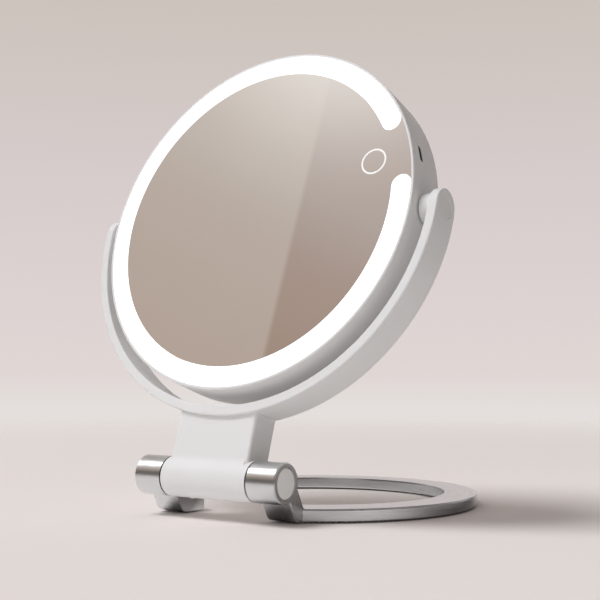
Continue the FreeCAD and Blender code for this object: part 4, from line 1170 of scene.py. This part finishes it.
@dataclass
class Electronics:
    """Light strip, battery, board and socket in the head."""

    head: MirrorHead
    control_deg: float = 17.6
    gap_half_deg: float = 12.4
    led_circle: float = 84.05
    led_count: int = 42
    led_height: float = 0.8
    led_case: Point = (3.5, 2.8, 0.72)
    led_case_edge: float = 0.12
    led_window: Point = (2.38, 2.016, 0.24)
    led_window_edge: float = 0.1
    strip_front: float = -4.8
    board_back: float = -1.12
    board_screw_reach: float = 56.1
    board_screw_side: float = 9.0
    socket_depth: float = -3.9
    tongue_thickness: float = 0.7
    contact_reach: float = 85.45
    contact_count: int = 12
    contact_pitch: float = 0.5
    contact_size: Point = (3.2, 0.28, 0.04)
    contact_edge: float = 0.01
    screw: CrossScrew = field(default_factory=lambda: CrossScrew(1.0, 5.0, 1.9, 1.2))
    # tinned copper: warm metal under a thin cloudy coat
    copper: Finish = PlatedMetal("tinned_copper", "D9A27C", "C58A63", roughness=0.3)
    # gold plating: a bright warm yellow
    gold: Finish = PlatedMetal("gold_plated_contact", "E8C37A", "D9AE5F", roughness=0.22)
    # recycled ABS: a dull even grey
    frame_plastic: Finish = MouldedPlastic("abs_frame_grey", "A5A5A9", "9B9BA0", roughness=0.5)
    # moulding epoxy: black, with a visible grain
    chip: Finish = MouldedPlastic("epoxy_black", "2A2A2B", "232324", roughness=0.45, grain_mm=0.25)
    # green lacquer over copper tracks: glossy, in two greens
    board: Finish = PrintedBoard("lacquered_board_green", "1F5A3C", "2C7350", roughness=0.3)
    # white lacquer over copper tracks: glossy, in two whites
    strip: Finish = PrintedBoard("lacquered_strip_white", "F0F0EC", "E2E2DA", roughness=0.35, track_mm=1.2)
    # white filled nylon: smooth and bright
    diode: Finish = MouldedPlastic("diode_case_white", "F2F2EE", "E9E9E4", roughness=0.35, grain_mm=0.3)
    # phosphor in silicone: glossy yellow
    phosphor: Finish = MouldedPlastic(
        "phosphor_yellow", "F0DE8C", "E6CF70", roughness=0.2, grain_mm=0.2, ior=1.41
    )
    # laminated aluminium foil: satin silver with soft wrinkles
    foil: Finish = CrimpedFoil("pouch_foil", "C6C8CC", "B2B5BA", roughness=0.35)
    # polyethylene foam: black and matt, with open cells
    foam: Finish = CellFoam("foam_tape_black", "3A3A3A", "242424", roughness=0.9)
    # extruded PVC: a smooth sheath with a soft shine
    red_sheath: Finish = MouldedPlastic("pvc_sheath_red", "C22A22", "AE211B", roughness=0.35, grain_mm=0.3)
    white_sheath: Finish = MouldedPlastic(
        "pvc_sheath_white", "EBEBE8", "DEDEDA", roughness=0.35, grain_mm=0.3
    )

    def dress(self) -> None:
        """Gives the CAD nodes in the head their finishes."""
        dress(self.frame_plastic, "inner_frame")
        dress(self.copper, "touch_sensor", "touch_contact")
        dress(self.strip, "led_strip")
        dress(self.foil, "battery")
        dress(self.foam, "battery_pad")
        dress(self.red_sheath, "battery_leads")
        dress(self.white_sheath, "light_leads")
        dress(self.board, "control_board")
        dress(self.chip, "board_chips", "usb_tongue")
        dress(PLATED_STEEL, "usb_shell")

    def build_diodes(self) -> None:
        """Builds the diodes on the strip: white cases and yellow windows, two rows on the same arc."""
        first = self.control_deg + self.gap_half_deg
        step = (360 - 2 * self.gap_half_deg) / (self.led_count - 1)
        row = Row(RowShape.ARC, self.led_count, first, step, self.led_circle)
        place = self.head.front(self.strip_front)
        middle = (0, 0, self.led_case[2] / 2)
        case = rounded_block("diode_case", self.led_case, middle, self.led_case_edge)
        cases = row.build("diode_cases", case, self.diode, place)
        settle(cases, "head", "strip_white")
        middle = (0, 0, self.led_height - self.led_window[2] / 2)
        window = rounded_block("diode_window", self.led_window, middle, self.led_window_edge)
        windows = row.build("diode_windows", window, self.phosphor, place)
        settle(windows, "head", "led_phosphor", "leds")

    def build_screws(self) -> None:
        """Builds the two screws of the control board."""
        radius = math.hypot(self.board_screw_reach, self.board_screw_side)
        spread = math.degrees(math.atan2(self.board_screw_side, self.board_screw_reach))
        row = Row(RowShape.ARC, 2, -self.control_deg + spread, -2 * spread, radius)
        piece = self.screw.mesh("board_screw")
        screws = row.build("circuit_screws", piece, PLATED_STEEL, self.head.rear(self.board_back))
        settle(screws, "head", "steel", "board_screws")

    def build_contacts(self) -> None:
        """Builds the contacts on the front of the socket's tongue."""
        first = -(self.contact_count - 1) * self.contact_pitch / 2
        row = Row(RowShape.LINE, self.contact_count, first, self.contact_pitch)
        piece = rounded_block("contact", self.contact_size, (self.contact_reach, 0, 0), self.contact_edge)
        face = self.socket_depth - self.tongue_thickness / 2
        place = self.head.front(face) @ Matrix.Rotation(math.radians(self.control_deg), 4, "Z")
        contacts = row.build("socket_contacts", piece, self.gold, place)
        settle(contacts, "head", "copper")


@dataclass(frozen=True)
class PhotoCamera:
    """Camera where the photograph was taken from."""

    place: Point = (321.09, -475.228, 67.233)
    yaw: float = 34.62
    pitch: float = -3.97
    roll: float = 0.168
    focal_px: float = 1080.23
    picture_px: float = 600.0
    sensor: float = 36.0
    clip_m: Span = (0.01, 50.0)

    def axes(self) -> Matrix:
        """Gives the camera's turn.

        Returns:
            Rotation with the camera's right, up and back as columns.
        """
        yaw, pitch, roll = (math.radians(a) for a in (self.yaw, self.pitch, self.roll))
        right = Vector((math.cos(yaw), math.sin(yaw), 0))
        back = Vector((math.sin(yaw) * math.cos(pitch), -math.cos(yaw) * math.cos(pitch), math.sin(pitch)))
        level = Matrix((right, back.cross(right), back)).transposed()
        return level @ Matrix.Rotation(roll, 3, "Z")

    def build(self) -> None:
        """Sets up the camera."""
        data = bpy.data.cameras.new("camera")
        data.sensor_width = self.sensor
        data.lens = self.focal_px / self.picture_px * self.sensor
        data.clip_start, data.clip_end = self.clip_m
        camera = add_object("camera", data)
        camera.matrix_world = Matrix.Translation(Vector(self.place) * MM) @ self.axes().to_4x4()
        bpy.context.scene.camera = camera


@dataclass(frozen=True)
class Surroundings:
    """Room round the object: a pale backdrop behind it and, for metal and glass, a dimmer room in front.

    The stops of each side give the sine of the height above the horizon and the tone there.
    """

    lowest: float = -0.05
    seam_plane: Point = (0.7796, -0.6075, 0.1524)
    seam_half: float = 0.003
    glow: str = "FAF4EE"
    glow_direction: Point = (-0.5, -0.45, 0.74)
    glow_reach: float = 12.1
    glow_power: float = 2.5
    behind: Span = (0.25, 0.8)
    neutral_saturation: float = 0.4
    right_level: float = 0.5
    ceiling: str = "A69F99"
    ceiling_height: Span = (0.35, 0.6)
    ceiling_depth: Span = (-0.05, 0.2)
    backdrop: Stops = (
        (-0.03, "E4DFDC"),
        (0.0, "E0D7D5"),
        (0.06, "DDD3D2"),
        (0.197, "D5CBCA"),
        (0.326, "CCC3BC"),
        (1.0, "B9B0A9"),
    )
    left_side: Stops = (
        (0.0, "423E3B"),
        (0.3, "6A615B"),
        (0.42, "BAA99E"),
        (0.47, "BDACA1"),
        (0.57, "C2B4AA"),
        (0.61, "C9BEB6"),
        (0.65, "CBBFB6"),
        (1.0, "A9A29C"),
    )
    right_side: Stops = (
        (0.0, "3A3633"),
        (0.3, "544D48"),
        (0.42, "A48F82"),
        (0.5, "AB9689"),
        (0.56, "B09C92"),
        (0.61, "BAADA6"),
        (0.65, "BDAFA8"),
        (1.0, "A9A29C"),
    )

    def ramp(self, tree: Tree, height: Socket, stops: Stops) -> Socket:
        """Colours the room by height.

        Args:
            tree: the world's tree.
            height: sine of the height above the horizon.
            stops: height and tone of each stop, in order.

        Returns:
            The colour.
        """
        span = {"Value": height, "From Min": self.lowest, "From Max": 1.0}
        level = add_node(tree, "ShaderNodeMapRange", span).outputs[0]
        ramp = add_node(tree, "ShaderNodeValToRGB", {0: level})
        elements = ramp.color_ramp.elements
        while len(elements) < len(stops):
            elements.new(1.0)
        for element, (stop, tone) in zip(elements, stops):
            element.position = (stop - self.lowest) / (1 - self.lowest)
            element.color = linear(tone)
        return ramp.outputs[0]

    def halo(self, tree: Tree, way: Socket) -> Socket:
        """Marks the glow that the wall has round the lamp.

        Args:
            tree: the world's tree.
            way: direction that is looked at.

        Returns:
            1 at the glow's middle, 0 from its reach on.
        """
        ends = {0: way, 1: tuple(Vector(self.glow_direction).normalized())}
        nearness = add_node(tree, "ShaderNodeVectorMath", ends, operation="DOT_PRODUCT").outputs["Value"]
        span = {"Value": nearness, "From Min": math.cos(math.radians(self.glow_reach)), "From Max": 1.0}
        rise = add_node(tree, "ShaderNodeMapRange", span).outputs[0]
        return add_node(tree, "ShaderNodeMath", {0: rise, 1: self.glow_power}, operation="POWER").outputs[0]

    def overhead(self, tree: Tree, height: Socket, depth: Socket) -> Socket:
        """Marks the ceiling behind the lamps.

        Args:
            tree: the world's tree.
            height: sine of the height above the horizon.
            depth: share of the direction that points backwards.

        Returns:
            1 on the ceiling, 0 elsewhere.
        """
        rises = []
        for along, (low, high) in ((height, self.ceiling_height), (depth, self.ceiling_depth)):
            span = {"Value": along, "From Min": low, "From Max": high}
            rises.append(add_node(tree, "ShaderNodeMapRange", span).outputs[0])
        return add_node(tree, "ShaderNodeMath", {0: rises[0], 1: rises[1]}, operation="MULTIPLY").outputs[0]

    def build(self, forward: Vector) -> None:
        """Makes the world.

        Args:
            forward: direction from the camera to the object.
        """
        world = bpy.data.worlds.new("studio")
        bpy.context.scene.world = world
        world.use_nodes = True
        tree = world.node_tree
        tree.nodes.clear()
        way = add_node(tree, "ShaderNodeTexCoord").outputs["Generated"]
        _, depth, height = add_node(tree, "ShaderNodeSeparateXYZ", {0: way}).outputs
        rays = add_node(tree, "ShaderNodeLightPath").outputs
        sides = (self.backdrop, self.left_side, self.right_side)
        wall, left, right = [self.ramp(tree, height, stops) for stops in sides]
        # the two halves of the room meet in one plane, which the flat mirror shows as a slanting line
        ends = {0: way, 1: self.seam_plane}
        side = add_node(tree, "ShaderNodeVectorMath", ends, operation="DOT_PRODUCT").outputs["Value"]
        seam = {"Value": side, "From Min": -self.seam_half, "From Max": self.seam_half}
        on_right = add_node(tree, "ShaderNodeMapRange", seam, interpolation_type="SMOOTHSTEP").outputs[0]
        ends = {0: way, 1: (forward.x, forward.y, 0.0)}
        ahead = add_node(tree, "ShaderNodeVectorMath", ends, operation="DOT_PRODUCT").outputs["Value"]
        low, high = self.behind
        turn = {"Value": ahead, "From Min": low, "From Max": high}
        behind = add_node(tree, "ShaderNodeMapRange", turn, interpolation_type="SMOOTHSTEP").outputs[0]
        # the wall brightens round the lamp, and the backdrop stands behind the object
        seen = left
        for factor, tone in ((on_right, right), (self.halo(tree, way), linear(self.glow)), (behind, wall)):
            seen = add_node(tree, "ShaderNodeMix", {0: factor, 6: seen, 7: tone}, data_type="RGBA").outputs[2]
        # matt surfaces get the same room in a more neutral grey, dimmer on its right
        levels = {"Value": on_right, "To Min": 1.0, "To Max": self.right_level}
        level = add_node(tree, "ShaderNodeMapRange", levels).outputs[0]
        grey = {"Saturation": self.neutral_saturation, "Value": level, "Color": seen}
        neutral = add_node(tree, "ShaderNodeHueSaturation", grey).outputs[0]
        # metal sees a dimmer ceiling, and the camera sees the backdrop all round
        above = {0: self.overhead(tree, height, depth), 1: rays["Is Glossy Ray"]}
        roofed = add_node(tree, "ShaderNodeMath", above, operation="MULTIPLY").outputs[0]
        layers = (
            (rays["Is Diffuse Ray"], neutral),
            (roofed, linear(self.ceiling)),
            (rays["Is Camera Ray"], wall),
        )
        for factor, tone in layers:
            seen = add_node(tree, "ShaderNodeMix", {0: factor, 6: seen, 7: tone}, data_type="RGBA").outputs[2]
        light = add_node(tree, "ShaderNodeBackground", {"Color": seen})
        add_node(tree, "ShaderNodeOutputWorld", {"Surface": light.outputs[0]})


class Lights(Enum):
    """What a lamp acts on."""

    MATT = "matt surfaces"
    METAL = "metal"


@dataclass(frozen=True)
class Lamp:
    """Round soft lamp that faces the object.

    The direction is from the object to the lamp, and the power is in watts.
    """

    name: str
    lights: Lights
    direction: Point
    distance: float
    size: float
    power: float
    colour: str = "FBFCFE"

    def hang(self, target: Point) -> None:
        """Hangs the lamp.

        Args:
            target: point that it faces.
        """
        data = bpy.data.lights.new(self.name, "AREA")
        data.shape = "DISK"
        data.size = self.size * MM
        data.energy = self.power
        data.color = linear(self.colour)[:3]
        lamp = add_object(self.name, data)
        way = Vector(self.direction).normalized()
        place = Vector(target) * MM + way * self.distance * MM
        lamp.matrix_world = Matrix.Translation(place) @ way.to_track_quat("Z", "Y").to_matrix().to_4x4()
        lamp.visible_glossy = self.lights is Lights.METAL
        lamp.visible_diffuse = self.lights is Lights.MATT


@dataclass
class Studio:
    """Camera, floor, surroundings and lamps."""

    floor_radius: float = 2600.0
    floor_sides: int = 96
    target: Point = (0.0, 0.0, 100.0)
    camera: PhotoCamera = PhotoCamera()
    paper: SeamlessPaper = SeamlessPaper()
    surroundings: Surroundings = Surroundings()
    lamps: tuple[Lamp, ...] = (
        Lamp("key", Lights.MATT, (-0.4, -0.4, 0.825), 12000.0, 6240.0, 885.0),
        Lamp("fill", Lights.MATT, (0.22, -0.96, 0.06), 4000.0, 2600.0, 34.0),
        Lamp("glint", Lights.METAL, (-0.58, -0.32, 0.75), 3000.0, 860.0, 13.0),
    )

    def build_floor(self) -> None:
        """Lays the pale floor."""
        work = bmesh.new()
        bmesh.ops.create_circle(work, cap_ends=True, segments=self.floor_sides, radius=self.floor_radius * MM)
        floor = add_object("floor", finish_mesh(work, "floor"))
        floor.data.materials.append(self.paper.material())

    def build(self) -> None:
        """Builds the whole studio."""
        self.camera.build()
        self.build_floor()
        self.surroundings.build(self.camera.axes() @ Vector((0, 0, -1)))
        for lamp in self.lamps:
            lamp.hang(self.target)
        bpy.context.scene.view_settings.view_transform = "Standard"


def main() -> None:
    """Builds every sub-assembly in order."""
    logging.basicConfig(level=logging.INFO, format="%(name)s: %(message)s")
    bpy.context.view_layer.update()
    base = BaseStand()
    base.dress()
    base.build_tread()
    arm = Arm()
    arm.dress()
    arm.build_screws()
    head = MirrorHead()
    head.dress()
    head.build_screws()
    head.build_dish()
    inside = Electronics(head)
    inside.dress()
    inside.build_diodes()
    inside.build_screws()
    inside.build_contacts()
    Studio().build()
    LOG.info("sizes written")


if __name__ == "__main__":
    main()
